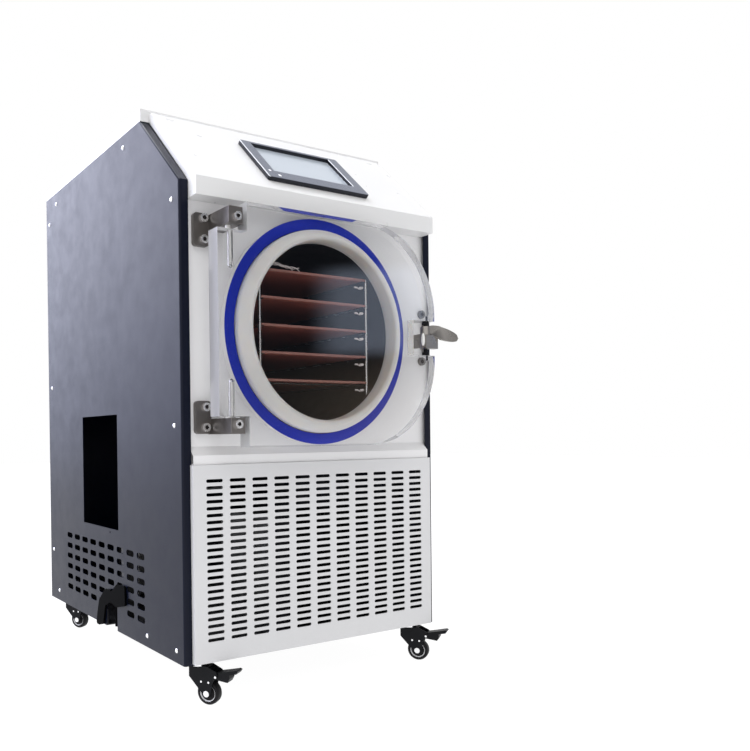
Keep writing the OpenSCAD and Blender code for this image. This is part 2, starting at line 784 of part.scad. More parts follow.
module hmi_screen() {
    cab() color("#cfd8e4") on_slope() translate([0, lcd_up, hood_rise + bezel_t - lcd_deep])
        linear_extrude(lcd_t) square([lcd_w - 0.4, lcd_h - 0.4], center = true);
}

// ---- Door hinges --------------------------------------------------------------------------

arm_w = 33;                // width of a hinge arm
arm_x = -282;              // left face of the arm, from the centre plane
leaf_w = 37;               // width of the screwed leaf, left of the arm's left face
leaf_t = 10;               // thickness of the leaf
block_t = 38;              // depth of the bolted block
hinge_y = door_y - 16;     // hinge axis
block_proud = 3;           // how far the blocks stand in front of the door
block_y = door_y - door_t - block_proud;
block_back = block_y + block_t;
screw_head = 9;            // radius of a hinge screw's head
screw_head_t = 6.5;        // height of the block screws' heads
shank_r = 4;               // radius of the hinge and keeper screws
shank_hole = 4.2;          // radius of their holes
leaf_screw_x = -293;       // leaf screws, from the centre plane
pin_hold = 8;              // depth of a pin in its block

// Heights of the lower and the upper hinge, measured from the door's own edges.
leaf_h = 68;               // height of the screwed leaf
arm_h = [32, 34];          // heights of the arms
arm_lo = [door_low + 27, door_top - 48];
leaf_lo = [arm_lo[0] + 1, arm_lo[1] - 31];
leaf_screw = [[leaf_lo[0] + 13.6, leaf_lo[0] + 55.5], [leaf_lo[1] + 14.5, leaf_lo[1] + 58]];
block_screw = [[arm_x + 16, arm_lo[0] + 19.5], [arm_x + 19, arm_lo[1] + 14]];

// Leaf and arm, bent and welded from stainless plate. i = 0 at the bottom, 1 at the top.
module hinge_arm(i) {
    leaf_x = arm_x - leaf_w + 2;
    cab() color("#7d7a7a") difference() {
        union() {
            translate([leaf_x + leaf_w / 2, panel_set - leaf_t, leaf_lo[i] + leaf_h / 2])
                upright(leaf_t) round_rect(leaf_w, leaf_h, 8);
            translate([arm_x, block_back, arm_lo[i]]) cube([arm_w, panel_set - block_back, arm_h[i]]);
        }
        for (z = leaf_screw[i]) bar_y([leaf_screw_x, -20, z], shank_hole, 60);
        bar_y([block_screw[i][0], block_back - eps, block_screw[i][1]], shank_hole, 22);
    }
}

module hinge_arm_top() {
    hinge_arm(1);
}

module hinge_arm_bottom() {
    hinge_arm(0);
}

// Block that holds the pin, bolted to the arm's end from the front.
module hinge_block(i) {
    cab() color("#858282") difference() {
        translate([arm_x, block_y, arm_lo[i]]) cube([arm_w, block_t, arm_h[i]]);
        bar_y([block_screw[i][0], block_y - eps, block_screw[i][1]], shank_hole, block_t + 1);
        translate([hinge_x, hinge_y, arm_lo[i] + (i == 0 ? arm_h[i] - pin_hold : -eps)])
            cylinder(pin_hold + eps, pin_r, pin_r);
    }
}

module hinge_block_top() {
    hinge_block(1);
}

module hinge_block_bottom() {
    hinge_block(0);
}

notch_z = [door_low + notch_h + 2, door_top - notch_h + 1];   // edges of the door at the hinges

// Two pins fixed in the blocks, and the washer that carries the door on the lower one.
module hinge_pins() {
    low_top = arm_lo[0] + arm_h[0];
    cab() color("#b5b5b7") translate([hinge_x, hinge_y, 0]) {
        translate([0, 0, low_top - pin_hold + gap])
            cylinder(notch_z[0] - low_top + pin_hold + pin_deep - 4, pin_r - fit, pin_r - fit);
        translate([0, 0, low_top]) difference() {
            cylinder(notch_z[0] - low_top - gap, 12, 12);
            translate([0, 0, -eps]) cylinder(10, pin_r, pin_r);
        }
        translate([0, 0, notch_z[1] - pin_deep + 4])
            cylinder(arm_lo[1] - notch_z[1] + pin_hold - gap + pin_deep - 4, pin_r - fit, pin_r - fit);
    }
}

// Socket head screw with its head towards +z, seated on z = 0, shank of radius r and length l.
module cap_screw(head_r, head_h, r, l) {
    difference() {
        union() {
            cylinder(head_h, head_r, head_r);
            translate([0, 0, -l]) cylinder(l + eps, r, r, $fn = 32);
        }
        translate([0, 0, head_h * 0.45]) cylinder(head_h, head_r * 0.55, head_r * 0.55, $fn = 6);
    }
}

module hinge_screws() {
    cab() color("#8e8e90") for (i = [0, 1]) {
        for (z = leaf_screw[i])
            translate([leaf_screw_x, panel_set - leaf_t, z]) rotate([90, 0, 0])
                cap_screw(screw_head, 5, shank_r, leaf_t + 6);
        translate([block_screw[i][0], block_y, block_screw[i][1]]) rotate([90, 0, 0])
            cap_screw(screw_head - 0.5, screw_head_t, shank_r, block_t + 20);
    }
}

// ---- Door and latch -----------------------------------------------------------------------

latch_y = door_y - door_t + 10;    // latch pin, 10 behind the door's front face

module door_plate() {
    w = door_right - door_left;
    h = door_top - door_low;
    cab() color("#dfe9ee", 0.35) difference() {
        translate([0, door_y - door_t, 0]) upright(door_t) difference() {
            union() {
                translate([door_left, door_low]) square([w - door_r, h]);
                translate([door_right - door_r - 1, door_low + door_r])
                    square([door_r + 1, h - 2 * door_r]);
                for (z = [door_low + door_r, door_top - door_r])
                    translate([door_right - door_r, z]) circle(door_r, $fn = 180);
            }
            translate([door_left - 1, door_low - 1]) square([notch_w + 1, notch_z[0] - door_low + 1]);
            translate([door_left - 1, notch_z[1]]) square([notch_w + 1, door_top - notch_z[1] + 1]);
            translate([door_right - latch_w, latch_z - latch_h / 2]) square([latch_w + 1, latch_h]);
        }
        translate([hinge_x, hinge_y, notch_z[0] - eps]) cylinder(pin_deep + eps, pin_r, pin_r);
        translate([hinge_x, hinge_y, notch_z[0] + pin_deep]) cylinder(4, pin_r, 0);
        translate([hinge_x, hinge_y, notch_z[1] - pin_deep]) cylinder(pin_deep + eps, pin_r, pin_r);
        translate([hinge_x, hinge_y, notch_z[1] - pin_deep - 4]) cylinder(4, 0, pin_r);
        for (s = [-1, 1])
            translate([latch_x, latch_y, latch_z + s * (latch_h / 2 + 6)])
                cylinder(13, latch_r, latch_r, center = true);
    }
}

// Latch pin with a black bush at each end, across the notch.
module latch_pin() {
    half = latch_h / 2;
    cab() color("#26272a") translate([latch_x, latch_y, latch_z]) {
        translate([0, 0, -half - 11]) cylinder(2 * half + 22, latch_r - fit, latch_r - fit);
        for (s = [0, 1]) mirror([0, 0, s]) translate([0, 0, half - 8]) difference() {
            cylinder(8 - gap, 8, 8);
            translate([0, 0, -1]) cylinder(10, latch_r - fit, latch_r - fit);
        }
    }
}

blade_w = 30;              // greatest width of the lever's leaf-shaped blade
blade_up = 22;             // blade's middle above the latch's middle, at the pin
blade_fall = 0.25;         // its fall towards the tip, per step of length
blade_n = 24;              // steps in each edge of the blade

// Height of the blade's edge at the distance u from the pin, for the upper (1) or lower (-1) one.
function blade_edge(u, side) = blade_up - blade_fall * u
    + side * blade_w / 2 * pow(sin(180 * u / lever_l), 0.35);

// Cam and leaf-shaped blade of the latch. The cam's hook reaches over the keeper's roller.
module latch_lever() {
    hub_r = 12;
    cam_h = 32;
    steps = [0:blade_n];
    cab() color("#8b8886") translate([latch_x, latch_y, latch_z]) difference() {
        union() {
            translate([0, 0, -24]) cylinder(52, hub_r, hub_r);
            translate([-hub_r, -hub_r - 2, -24]) cube([2 * hub_r + 14, hub_r + 1, cam_h]);
            rotate([0, 0, -lever_turn]) translate([0, blade_t / 2 - blade_set, 0]) rotate([90, 0, 0])
                linear_extrude(blade_t) polygon(concat(
                    [for (i = steps) let (u = lever_l * i / blade_n) [u, blade_edge(u, 1)]],
                    [for (i = steps) let (u = lever_l * (1 - i / blade_n)) [u, blade_edge(u, -1)]]));
        }
        translate([0, 0, -60]) cylinder(120, latch_r + fit, latch_r + fit);
    }
}

roller_at = [latch_x + 20, latch_y + 5.5];   // keeper's roller, as (x, y)
keeper_x = 310;            // keeper's screws, from the centre plane
keeper_t = 5;              // thickness of the keeper's plate
keeper_span = 57;          // its screws above and below the latch's middle
keeper_up = 11;            // middle of the screws above the latch's middle
keeper_slot = [18, 44];    // slot in the front panel for the keeper's arm
keeper_screw_z = [latch_z + keeper_up - keeper_span, latch_z + keeper_up + keeper_span];
keeper_y = panel_set + sheet;    // front face of the keeper's plate, behind the front panel

// Keeper: a plate behind the front panel, and an arm through its slot that holds the roller pin.
module latch_keeper() {
    half = 16;
    cab() color("#9b9a98") {
        difference() {
            translate([roller_at[0] - 10, keeper_y, keeper_screw_z[0] - 18])
                cube([keeper_x + 24 - roller_at[0], keeper_t, 2 * keeper_span + 36]);
            for (z = keeper_screw_z) bar_y([keeper_x, -20, z], shank_hole, 60);
        }
        translate([roller_at[0] - 5, roller_at[1] + 9, latch_z - half])
            cube([12, keeper_y - roller_at[1] - 9 + eps, 2 * half]);
        for (z = [latch_z - half, latch_z + half - 4])
            translate([roller_at[0] - 5, roller_at[1] - 4, z]) cube([12, 14, 4]);
        translate([roller_at[0], roller_at[1], latch_z - half + 3]) cylinder(2 * half - 6, 5, 5);
    }
}

module keeper_screws() {
    cab() color("#8e8e90") for (z = keeper_screw_z)
        translate([keeper_x, panel_set, z]) rotate([90, 0, 0])
            cap_screw(screw_head + 1, 7, shank_r, sheet + keeper_t + 3);
}

// ---- Drain valve --------------------------------------------------------------------------

spout_x = -side + 18;      // spout's axis, from the centre plane
spout_r = 9;               // outer radius of the spout
spout_l = 74;              // spout's end below the valve's axis
collar_l = 22;             // collar's end below the valve's axis

// Ball valve: a barrel along x, a spindle towards the handle and a spout with a collar below.
module drain_valve_body() {
    cab() color("#17181a") translate([0, valve_at[0], valve_at[1]]) difference() {
        union() {
            bar_x([-side + 5, 0, 0], valve_r, 45);
            bar_x([-side + 1, 0, 0], 8, 12);
            translate([spout_x, 0, -collar_l]) cylinder(collar_l, spout_r + 3, spout_r + 3);
            translate([spout_x, 0, -spout_l]) cylinder(spout_l, spout_r, spout_r);
        }
        translate([spout_x, 0, -spout_l - 1]) cylinder(spout_l - 9, 5, 5);
        bar_x([-side + 45, 0, 0], 5, 10);
    }
}

handle_t = 5;              // thickness of the handle's wings

// Handle of the drain valve: a hub with a broad wing ahead and a bent one that hangs at the rear.
module drain_handle() {
    cab() color("#121315") translate([-side - knob_out, valve_at[0], valve_at[1]]) difference() {
        union() {
            bar_x([0, 0, 0], 14, knob_out + 5 - gap);
            across(handle_t) polygon([
                [-6, 20], [31, 14], [67, -17], [80, -50], [87, -78], [82, -82], [69, -82],
                [43, -75], [36, -50], [28, -26], [0, -13]]);
            across(handle_t) polygon([
                [0, 12], [-18, 20], [-43, 38], [-86, 40], [-91, 36], [-92, -1], [-88, -6],
                [-41, -18], [-8, -12]]);
        }
        bar_x([knob_out - 3, 0, 0], 8 + fit, 30);
    }
}

// ---- Casters ------------------------------------------------------------------------------

plate_t = 3;               // thickness of a caster's top plate
head_t = 6;                // thickness of the swivel head
cheek_t = 3;               // thickness of a fork cheek
axle_r = 4;                // radius of an axle
hub_gap = 1;               // wheel to cheek, each side
axle_z = wheel_r - lift;   // height of the axles
cheek_y = wheel_w / 2 + hub_gap;

// Places the caster in corner (sx, sy): x along its trail, z up from the cabinet's lower edge.
module caster(sx, sy) {
    cab() translate([sx * (side - inset_x), sy < 0 ? inset_y : cab_d - inset_y, 0])
        rotate([0, 0, trail_turn]) children();
}

module caster_plates() {
    color("#2a2b2e") for (sx = [-1, 1], sy = [-1, 1]) caster(sx, sy) {
        rotate([0, 0, -trail_turn]) difference() {
            translate([-30, -30, -plate_t]) cube([60, 60, plate_t - 0.01]);
            for (i = [-1, 1], k = [-1, 1])
                translate([i * 23, k * 23, -5]) cylinder(10, 3.2, 3.2, $fn = 24);
        }
        translate([0, 0, -plate_t - head_t - cheek_t - 2]) cylinder(head_t + cheek_t + 3, 5, 5);
        translate([0, 0, -plate_t - head_t - cheek_t - 4]) cylinder(3, 9, 9);
    }
}

// Swivel fork with its two cheeks, cross rivets and the axle.
module fork(sx, sy) {
    top = -plate_t - gap - head_t;
    foot = axle_z;
    rivet_z = foot + 24;
    caster(sx, sy) {
        color("#1a1b1d") difference() {
            union() {
                translate([0, 0, top]) cylinder(head_t, 22, 22);
                translate([-14, -cheek_y - cheek_t, top - cheek_t + eps])
                    cube([44, 2 * (cheek_y + cheek_t), cheek_t]);
                for (s = [-1, 1]) translate([0, s > 0 ? cheek_y + cheek_t : -cheek_y, 0])
                    rotate([90, 0, 0]) linear_extrude(cheek_t) {
                        polygon([[-14, top], [-14, -33], [trail - 9, foot - 2], [trail + 9, foot - 2],
                                 [trail + 14, -40], [52, -24], [50, -18], [30, top]]);
                        translate([trail, foot]) circle(9.3);
                    }
            }
            translate([0, 0, -60]) cylinder(60, 5 + fit, 5 + fit);
            translate([0, 0, top - cheek_t - 6]) cylinder(6 + eps, 10, 10);
            translate([pedal_at[0], 0, pedal_at[1]]) rotate([90, 0, 0])
                cylinder(60, 2.5, 2.5, center = true);
        }
        color("silver") {
            bar_across([trail, foot], axle_r, cheek_y + cheek_t + 1);
            for (s = [-1, 1]) translate([trail, s * (cheek_y + cheek_t + 1), foot])
                rotate([90, 0, 0]) cylinder(2.4, 6.5, 6.5, center = true);
            bar_across(pedal_at, 2.5, cheek_y + cheek_t + 1);
            for (dx = [-12, 5], s = [-1, 1]) translate([trail + dx, s * (cheek_y + 2.2), rivet_z])
                rotate([90, 0, 0]) cylinder(3.4, 2.2, 2.2, center = true, $fn = 24);
        }
    }
}

pedal_at = [trail + 21, -28];      // pivot of the brake pedal, as (x, z) in the caster's frame

// Pin across the fork at the point at, as (x, z), of radius r and half length l.
module bar_across(at, r, l) {
    translate([at[0], 0, at[1]]) rotate([90, 0, 0]) cylinder(2 * l, r, r, center = true);
}

// Wheel with a crowned tread and a recessed hub.
module wheel(sx, sy) {
    h = wheel_w / 2;
    caster(sx, sy) color("#222326") translate([trail, 0, axle_z]) rotate([90, 0, 0])
        rotate_extrude($fn = 96) polygon([
            [axle_r + fit, -h], [axle_r + 5, -h], [axle_r + 6, -h + 3], [wheel_r - 9, -h + 3],
            [wheel_r - 7, -h + 0.5], [wheel_r - 2, -h + 1], [wheel_r - 0.3, -h + 4],
            [wheel_r, 0], [wheel_r - 0.3, h - 4], [wheel_r - 2, h - 1], [wheel_r - 7, h - 0.5],
            [wheel_r - 9, h - 3], [axle_r + 6, h - 3], [axle_r + 5, h], [axle_r + fit, h]]);
}

// Brake pedal of a front caster: a block between the cheeks with a flat tongue outside.
module pedal(sx) {
    half = cheek_y - gap;
    caster(sx, -1) color("#1a1b1d") translate([pedal_at[0], 0, pedal_at[1]]) difference() {
        rotate([90, 0, 0]) translate([0, 0, -half]) linear_extrude(2 * half) polygon([
            [-5, -6], [26, -9], [31, 0], [30, 7], [46, 11], [50, 17], [46, 19], [22, 13], [4, 9], [-5, 5]]);
        bar_across([0, 0], 2.5 + fit, 40);
    }
}

module fork_front_left() {
    fork(-1, -1);
}

module fork_front_right() {
    fork(1, -1);
}

module fork_rear_left() {
    fork(-1, 1);
}

module fork_rear_right() {
    fork(1, 1);
}

module wheel_front_left() {
    wheel(-1, -1);
}

module wheel_front_right() {
    wheel(1, -1);
}

module wheel_rear_left() {
    wheel(-1, 1);
}

module wheel_rear_right() {
    wheel(1, 1);
}

module pedal_left() {
    pedal(-1);
}

module pedal_right() {
    pedal(1);
}

base_tray();
frame_left();
frame_right();
cross_rails();
side_panel_left();
side_panel_right();
back_panel();
top_cover();
control_hood();
front_panel();
vent_panel();
chamber_shell();
chamber_flange();
door_gasket();
blue_ring();
insulation();
shelf_rack();
shelf_1();
shelf_2();
shelf_3();
shelf_4();
shelf_5();
heater_mats();
compressor();
condenser();
fan_shroud();
fan_motor();
fan_blades();
electric_box();
vacuum_pipe();
drain_pipe();
power_inlet();
power_switch();
hmi_bezel();
hmi_screen();
hinge_arm_top();
hinge_arm_bottom();
hinge_block_top();
hinge_block_bottom();
hinge_pins();
hinge_screws();
door_plate();
latch_pin();
latch_lever();
latch_keeper();
keeper_screws();
panel_screws();
drain_valve_body();
drain_handle();
caster_plates();
fork_front_left();
fork_front_right();
fork_rear_left();
fork_rear_right();
wheel_front_left();
wheel_front_right();
wheel_rear_left();
wheel_rear_right();
pedal_left();
pedal_right();
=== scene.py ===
"""Looks of the freeze dryer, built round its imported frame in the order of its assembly."""

import json
import math

import bmesh
import bpy
from mathutils import Matrix, Vector


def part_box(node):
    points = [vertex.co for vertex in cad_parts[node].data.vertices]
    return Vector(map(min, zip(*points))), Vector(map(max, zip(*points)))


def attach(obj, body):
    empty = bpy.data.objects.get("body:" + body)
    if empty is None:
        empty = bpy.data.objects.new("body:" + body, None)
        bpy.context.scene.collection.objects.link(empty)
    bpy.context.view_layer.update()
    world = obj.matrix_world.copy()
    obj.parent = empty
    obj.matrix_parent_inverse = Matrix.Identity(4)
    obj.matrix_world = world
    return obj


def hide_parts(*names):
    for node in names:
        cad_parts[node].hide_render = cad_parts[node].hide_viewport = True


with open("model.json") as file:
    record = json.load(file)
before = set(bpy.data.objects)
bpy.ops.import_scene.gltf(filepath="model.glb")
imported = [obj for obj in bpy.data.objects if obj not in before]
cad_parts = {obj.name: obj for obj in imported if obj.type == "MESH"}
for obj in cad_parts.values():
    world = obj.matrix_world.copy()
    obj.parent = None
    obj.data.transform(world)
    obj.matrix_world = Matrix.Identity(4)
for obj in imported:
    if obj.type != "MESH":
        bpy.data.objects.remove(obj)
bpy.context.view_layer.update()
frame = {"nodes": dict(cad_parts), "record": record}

# ---- Studio: camera, floor and light ----------------------------------------------------------
# The machine stands on a pale seamless floor in soft light. The camera looks past its front left
# corner from a metre and a half away, with the lens 0.47 m above the cabinet's underside.

side_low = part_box("side_panel_left")[0]
front = side_low.y
under = side_low.z
eye = Vector((-1.0753, front - 1.3551, under + 0.4659))
yaw = math.radians(29.8)
pitch = math.radians(-0.52)
roll = math.radians(-0.72)

look = Vector((math.sin(yaw) * math.cos(pitch), math.cos(yaw) * math.cos(pitch), math.sin(pitch)))
level = Vector((math.cos(yaw), -math.sin(yaw), 0))
right = math.cos(roll) * level + math.sin(roll) * level.cross(look)
above = math.cos(roll) * level.cross(look) - math.sin(roll) * level
camera_data = bpy.data.cameras.new("camera")
camera = bpy.data.objects.new("camera", camera_data)
camera.matrix_world = Matrix((right, above, -look)).transposed().to_4x4()
camera.location = eye
camera_data.sensor_width = 36
camera_data.lens = 36.47
camera_data.shift_x = 0.228
camera_data.shift_y = 0.091
camera_data.clip_end = 50
bpy.context.collection.objects.link(camera)
bpy.context.scene.camera = camera
bpy.context.scene.view_settings.view_transform = "Standard"

# The room is white all round. Ahead of the machine to the right is the dim corner that the door
# mirrors, with a brownish bench and a bluish window. Behind it to the left is a bright wall with a
# lamp high up.
world = bpy.data.worlds.new("studio")
bpy.context.scene.world = world
world.use_nodes = True
room = world.node_tree


def feed(tree, socket, value):
    """Links a socket to another, or sets it to a number or a colour of three values."""
    if isinstance(value, bpy.types.NodeSocket):
        tree.links.new(value, socket)
    elif isinstance(value, tuple):
        socket.default_value = (*value, 1)
    else:
        socket.default_value = value


def graded(tree, value, low, high, start=0.0, end=1.0):
    """value eased from start at low to end at high."""
    node = tree.nodes.new("ShaderNodeMapRange")
    node.interpolation_type = "SMOOTHSTEP"
    tree.links.new(value, node.inputs["Value"])
    for label, number in (("From Min", low), ("From Max", high), ("To Min", start), ("To Max", end)):
        node.inputs[label].default_value = number
    return node.outputs["Result"]


def combined(tree, operation, first, second):
    """first and second, numbers or sockets, combined."""
    node = tree.nodes.new("ShaderNodeMath")
    node.operation = operation
    feed(tree, node.inputs[0], first)
    feed(tree, node.inputs[1], second)
    return node.outputs[0]


def blended(tree, factor, first, second):
    """A mix of two colours, either of which may be a tuple or a socket."""
    node = tree.nodes.new("ShaderNodeMix")
    node.data_type = "RGBA"
    feed(tree, node.inputs["Factor"], factor)
    feed(tree, node.inputs[6], first)
    feed(tree, node.inputs[7], second)
    return node.outputs[2]


def between(tree, value, low, high, soft):
    """1 where value lies from low to high, eased over soft at both ends."""
    rise = graded(tree, value, low - soft, low + soft)
    fall = graded(tree, value, high - soft, high + soft, 1.0, 0.0)
    return combined(tree, "MULTIPLY", rise, fall)


# Bearings run in degrees from the machine's rear, clockwise from above. Heights are the upward
# part of a line of sight, from -1 to 1.
sight = room.nodes.new("ShaderNodeSeparateXYZ")
room.links.new(room.nodes.new("ShaderNodeTexCoord").outputs["Generated"], sight.inputs[0])
height = sight.outputs["Z"]
bearing = combined(room, "ARCTAN2", sight.outputs["X"], sight.outputs["Y"])
bearing = combined(room, "MULTIPLY", bearing, 180 / math.pi)
low_wall = graded(room, height, 0.28, 0.5, 1.0, 0.0)
corner = combined(room, "MULTIPLY", between(room, bearing, 98, 172, soft=10), low_wall)
sash = between(room, height, 0.105, 0.208, soft=0.012)
window = combined(room, "MULTIPLY", between(room, bearing, 120, 141, soft=1.5), sash)
west = between(room, bearing, -75, -2, soft=8)
wall = blended(room, graded(room, bearing, -36, -14), (3.6, 3.7, 4.6), (6.0, 6.2, 7.4))
wall = blended(room, graded(room, height, -0.05, 0.42), (1.9, 2.0, 2.5), wall)
lamp_height = between(room, height, 0.84, 0.96, soft=0.01)
lamp = combined(room, "MULTIPLY", between(room, bearing, -64, -4, soft=4), lamp_height)
bench_top = graded(room, height, 0.03, 0.13, 1, 0)
bench = combined(room, "MULTIPLY", bench_top, graded(room, bearing, 136, 146, 1, 0.25))
dusk = blended(room, bench, (0.05, 0.055, 0.07), (0.36, 0.305, 0.25))
tone = blended(room, corner, (1.0, 1.0, 1.0), dusk)
tone = blended(room, window, tone, (0.85, 0.98, 1.25))
tone = blended(room, west, tone, wall)
tone = blended(room, lamp, tone, (14.0, 14.0, 14.0))
room.links.new(tone, room.nodes["Background"].inputs["Color"])

# One softbox hangs high above the camera.
softbox = bpy.data.lights.new("key_light", "AREA")
softbox.size = 1.6
softbox.energy = 14
key_light = bpy.data.objects.new("key_light", softbox)
key_light.location = (-1.2, -2.2, 3.4)
key_aim = Vector((0.1, 0, 0.7))
key_light.rotation_euler = (key_aim - key_light.location).to_track_quat("-Z", "Y").to_euler()
bpy.context.collection.objects.link(key_light)


def new_material(name):
    """A new material, its node tree and its shader."""
    material = bpy.data.materials.new(name)
    material.use_nodes = True
    return material, material.node_tree, material.node_tree.nodes["Principled BSDF"]


bpy.ops.object.select_all(action="DESELECT")
bpy.ops.mesh.primitive_plane_add(size=30, location=(0, 0, 0))
floor = bpy.context.object
floor.name = "floor"
floor_paint, _, shader = new_material("floor")
shader.inputs["Base Color"].default_value = (0.12, 0.12, 0.12, 1)
shader.inputs["Roughness"].default_value = 0.9
shader.inputs["Specular IOR Level"].default_value = 0.0
shader.inputs["Emission Color"].default_value = (1, 1, 1, 1)
shader.inputs["Emission Strength"].default_value = 0.97
floor.data.materials.append(floor_paint)

# ---- Welded frame -----------------------------------------------------------------------------
# Angle bars welded to a folded tray, sprayed black. It carries every panel, the chamber and the
# refrigeration set, and shows only through the vents, the window and from below.


def effect_tree(name, inputs):
    """A node group that makes a colour, a roughness and a normal: its tree and its two end nodes."""
    tree = bpy.data.node_groups.new(name, "ShaderNodeTree")
    for label, kind, value in inputs:
        socket = tree.interface.new_socket(label, in_out="INPUT", socket_type="NodeSocket" + kind)
        socket.default_value = value
    for label, kind in (("Colour", "Color"), ("Roughness", "Float"), ("Normal", "Vector")):
        tree.interface.new_socket(label, in_out="OUTPUT", socket_type="NodeSocket" + kind)
    return tree, tree.nodes.new("NodeGroupInput"), tree.nodes.new("NodeGroupOutput")


def deliver(tree, end, colour, roughness, normal):
    """Leads an effect's three results to the output node of its group."""
    tree.links.new(colour, end.inputs["Colour"])
    tree.links.new(roughness, end.inputs["Roughness"])
    tree.links.new(normal, end.inputs["Normal"])


def noise(tree, scale, detail, vector=None):
    """A noise texture on Object coordinates, or on the vector given."""
    node = tree.nodes.new("ShaderNodeTexNoise")
    node.inputs["Detail"].default_value = detail
    feed(tree, node.inputs["Scale"], scale)
    if vector is None:
        vector = tree.nodes.new("ShaderNodeTexCoord").outputs["Object"]
    tree.links.new(vector, node.inputs["Vector"])
    return node.outputs["Fac"]


def spread(tree, value, low, high):
    """value from 0.3..0.7 spread to low..high, either of which may be a number or a socket."""
    node = tree.nodes.new("ShaderNodeMapRange")
    node.inputs["From Min"].default_value = 0.3
    node.inputs["From Max"].default_value = 0.7
    tree.links.new(value, node.inputs["Value"])
    feed(tree, node.inputs["To Min"], low)
    feed(tree, node.inputs["To Max"], high)
    return node.outputs["Result"]


def scaled_colour(tree, colour, factor):
    """colour multiplied by a grey factor."""
    node = tree.nodes.new("ShaderNodeVectorMath")
    node.operation = "SCALE"
    tree.links.new(colour, node.inputs[0])
    tree.links.new(factor, node.inputs["Scale"])
    return node.outputs["Vector"]


def bump(tree, height, strength, distance):
    """The normal over a height."""
    node = tree.nodes.new("ShaderNodeBump")
    node.inputs["Distance"].default_value = distance
    tree.links.new(height, node.inputs["Height"])
    feed(tree, node.inputs["Strength"], strength)
    return node.outputs["Normal"]


# Powder coat: orange peel, a slow mottle in the colour and thin smears in the gloss.
coat_tree, coat_in, coat_out = effect_tree(
    "powder coat",
    [("Colour", "Color", (0.5, 0.5, 0.5, 1)), ("Roughness", "Float", 0.4), ("Peel Size", "Float", 900.0),
     ("Peel Depth", "Float", 0.15), ("Mottle", "Float", 0.04)],
)
slow = noise(coat_tree, scale=5, detail=4)
darker = combined(coat_tree, "SUBTRACT", 1.0, coat_in.outputs["Mottle"])
lighter = combined(coat_tree, "ADD", 1.0, coat_in.outputs["Mottle"])
mottled = scaled_colour(coat_tree, coat_in.outputs["Colour"], spread(coat_tree, slow, darker, lighter))
smears = noise(coat_tree, scale=24, detail=6)
rougher = combined(coat_tree, "MULTIPLY", coat_in.outputs["Roughness"], 1.12)
glossier = combined(coat_tree, "MULTIPLY", coat_in.outputs["Roughness"], 0.9)
smeared = spread(coat_tree, smears, glossier, rougher)
peel = noise(coat_tree, coat_in.outputs["Peel Size"], detail=2)
peeled = bump(coat_tree, peel, coat_in.outputs["Peel Depth"], distance=0.0004)
deliver(coat_tree, coat_out, mottled, smeared, peeled)


def finish_from(tree, shader, effect, **values):
    """Places an effect's group in a material, sets its values and leads its outputs to the shader."""
    node = tree.nodes.new("ShaderNodeGroup")
    node.node_tree = effect
    for label, value in values.items():
        node.inputs[label.replace("_", " ")].default_value = value
    for label, socket in (("Colour", "Base Color"), ("Roughness", "Roughness"), ("Normal", "Normal")):
        tree.links.new(node.outputs[label], shader.inputs[socket])


def coated(name, colour, roughness, peel_depth=0.15, mottle=0.04):
    """Powder-coated or painted metal."""
    material, tree, shader = new_material(name)
    finish_from(tree, shader, coat_tree, Colour=(*colour, 1), Roughness=roughness, Peel_Depth=peel_depth,
                Mottle=mottle)
    return material


def paint(material, *nodes):
    """Gives a material to CAD nodes as they are."""
    for node in nodes:
        for place in frame["nodes"][node].material_slots:
            place.material = material


black_spray = coated("black spray", (0.012, 0.012, 0.014), 0.5)
paint(black_spray, "base_tray", "frame_left", "frame_right", "cross_rails")

# ---- Casters ----------------------------------------------------------------------------------
# Swivel casters with pressed black forks, bright rivets and soft treads. The front two have a
# brake pedal. Each wheel has a pale ring round its hub.

record = frame["record"]
body_of = {node: body for body, members in record["behaviour"]["bodies"].items() for node in members}


def only(piece):
    """Makes one object the active and only selected one."""
    bpy.ops.object.select_all(action="DESELECT")
    piece.select_set(True)
    bpy.context.view_layer.objects.active = piece


def apply_all(piece):
    """Applies every modifier of a piece in turn."""
    only(piece)
    for modifier in list(piece.modifiers):
        bpy.ops.object.modifier_apply(modifier=modifier.name)


def middle_of(node):
    """The middle of a node's box."""
    low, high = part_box(node)
    return (low + high) / 2


def clean_copy(node, ending):
    """A copy of a CAD node with its triangles merged into whole faces, left in edit mode."""
    piece = bpy.data.objects.new(node + ending, frame["nodes"][node].data.copy())
    bpy.context.collection.objects.link(piece)
    only(piece)
    bpy.ops.object.mode_set(mode="EDIT")
    bpy.ops.mesh.select_mode(type="EDGE")
    bpy.ops.mesh.select_all(action="SELECT")
    bpy.ops.mesh.remove_doubles(threshold=1e-5)
    bpy.ops.mesh.dissolve_limited(angle_limit=math.radians(0.5))
    return piece


def shade(piece, angle):
    """Smooth shading over edges blunter than an angle, which leaves flat faces flat."""
    bpy.ops.object.shade_smooth_by_angle(angle=math.radians(angle))
    piece.modifiers.new("flat faces", "WEIGHTED_NORMAL").keep_sharp = True
    apply_all(piece)


def stand_for(piece, node, material):
    """Gives a piece its material and shows it in place of a node, riding on the node's body."""
    piece.data.materials.clear()
    piece.data.materials.append(material)
    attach(piece, body_of[node])
    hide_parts(node)


def softened(node, width, material, angle=32):
    """A copy of a CAD node with its sharp edges rounded to width, shown in its place."""
    piece = clean_copy(node, "_softened")
    bpy.ops.object.mode_set(mode="OBJECT")
    rounding = piece.modifiers.new("rounding", "BEVEL")
    rounding.width = width
    rounding.segments = 2
    rounding.limit_method = "ANGLE"
    rounding.angle_limit = math.radians(angle)
    apply_all(piece)
    shade(piece, angle)
    stand_for(piece, node, material)
    return piece


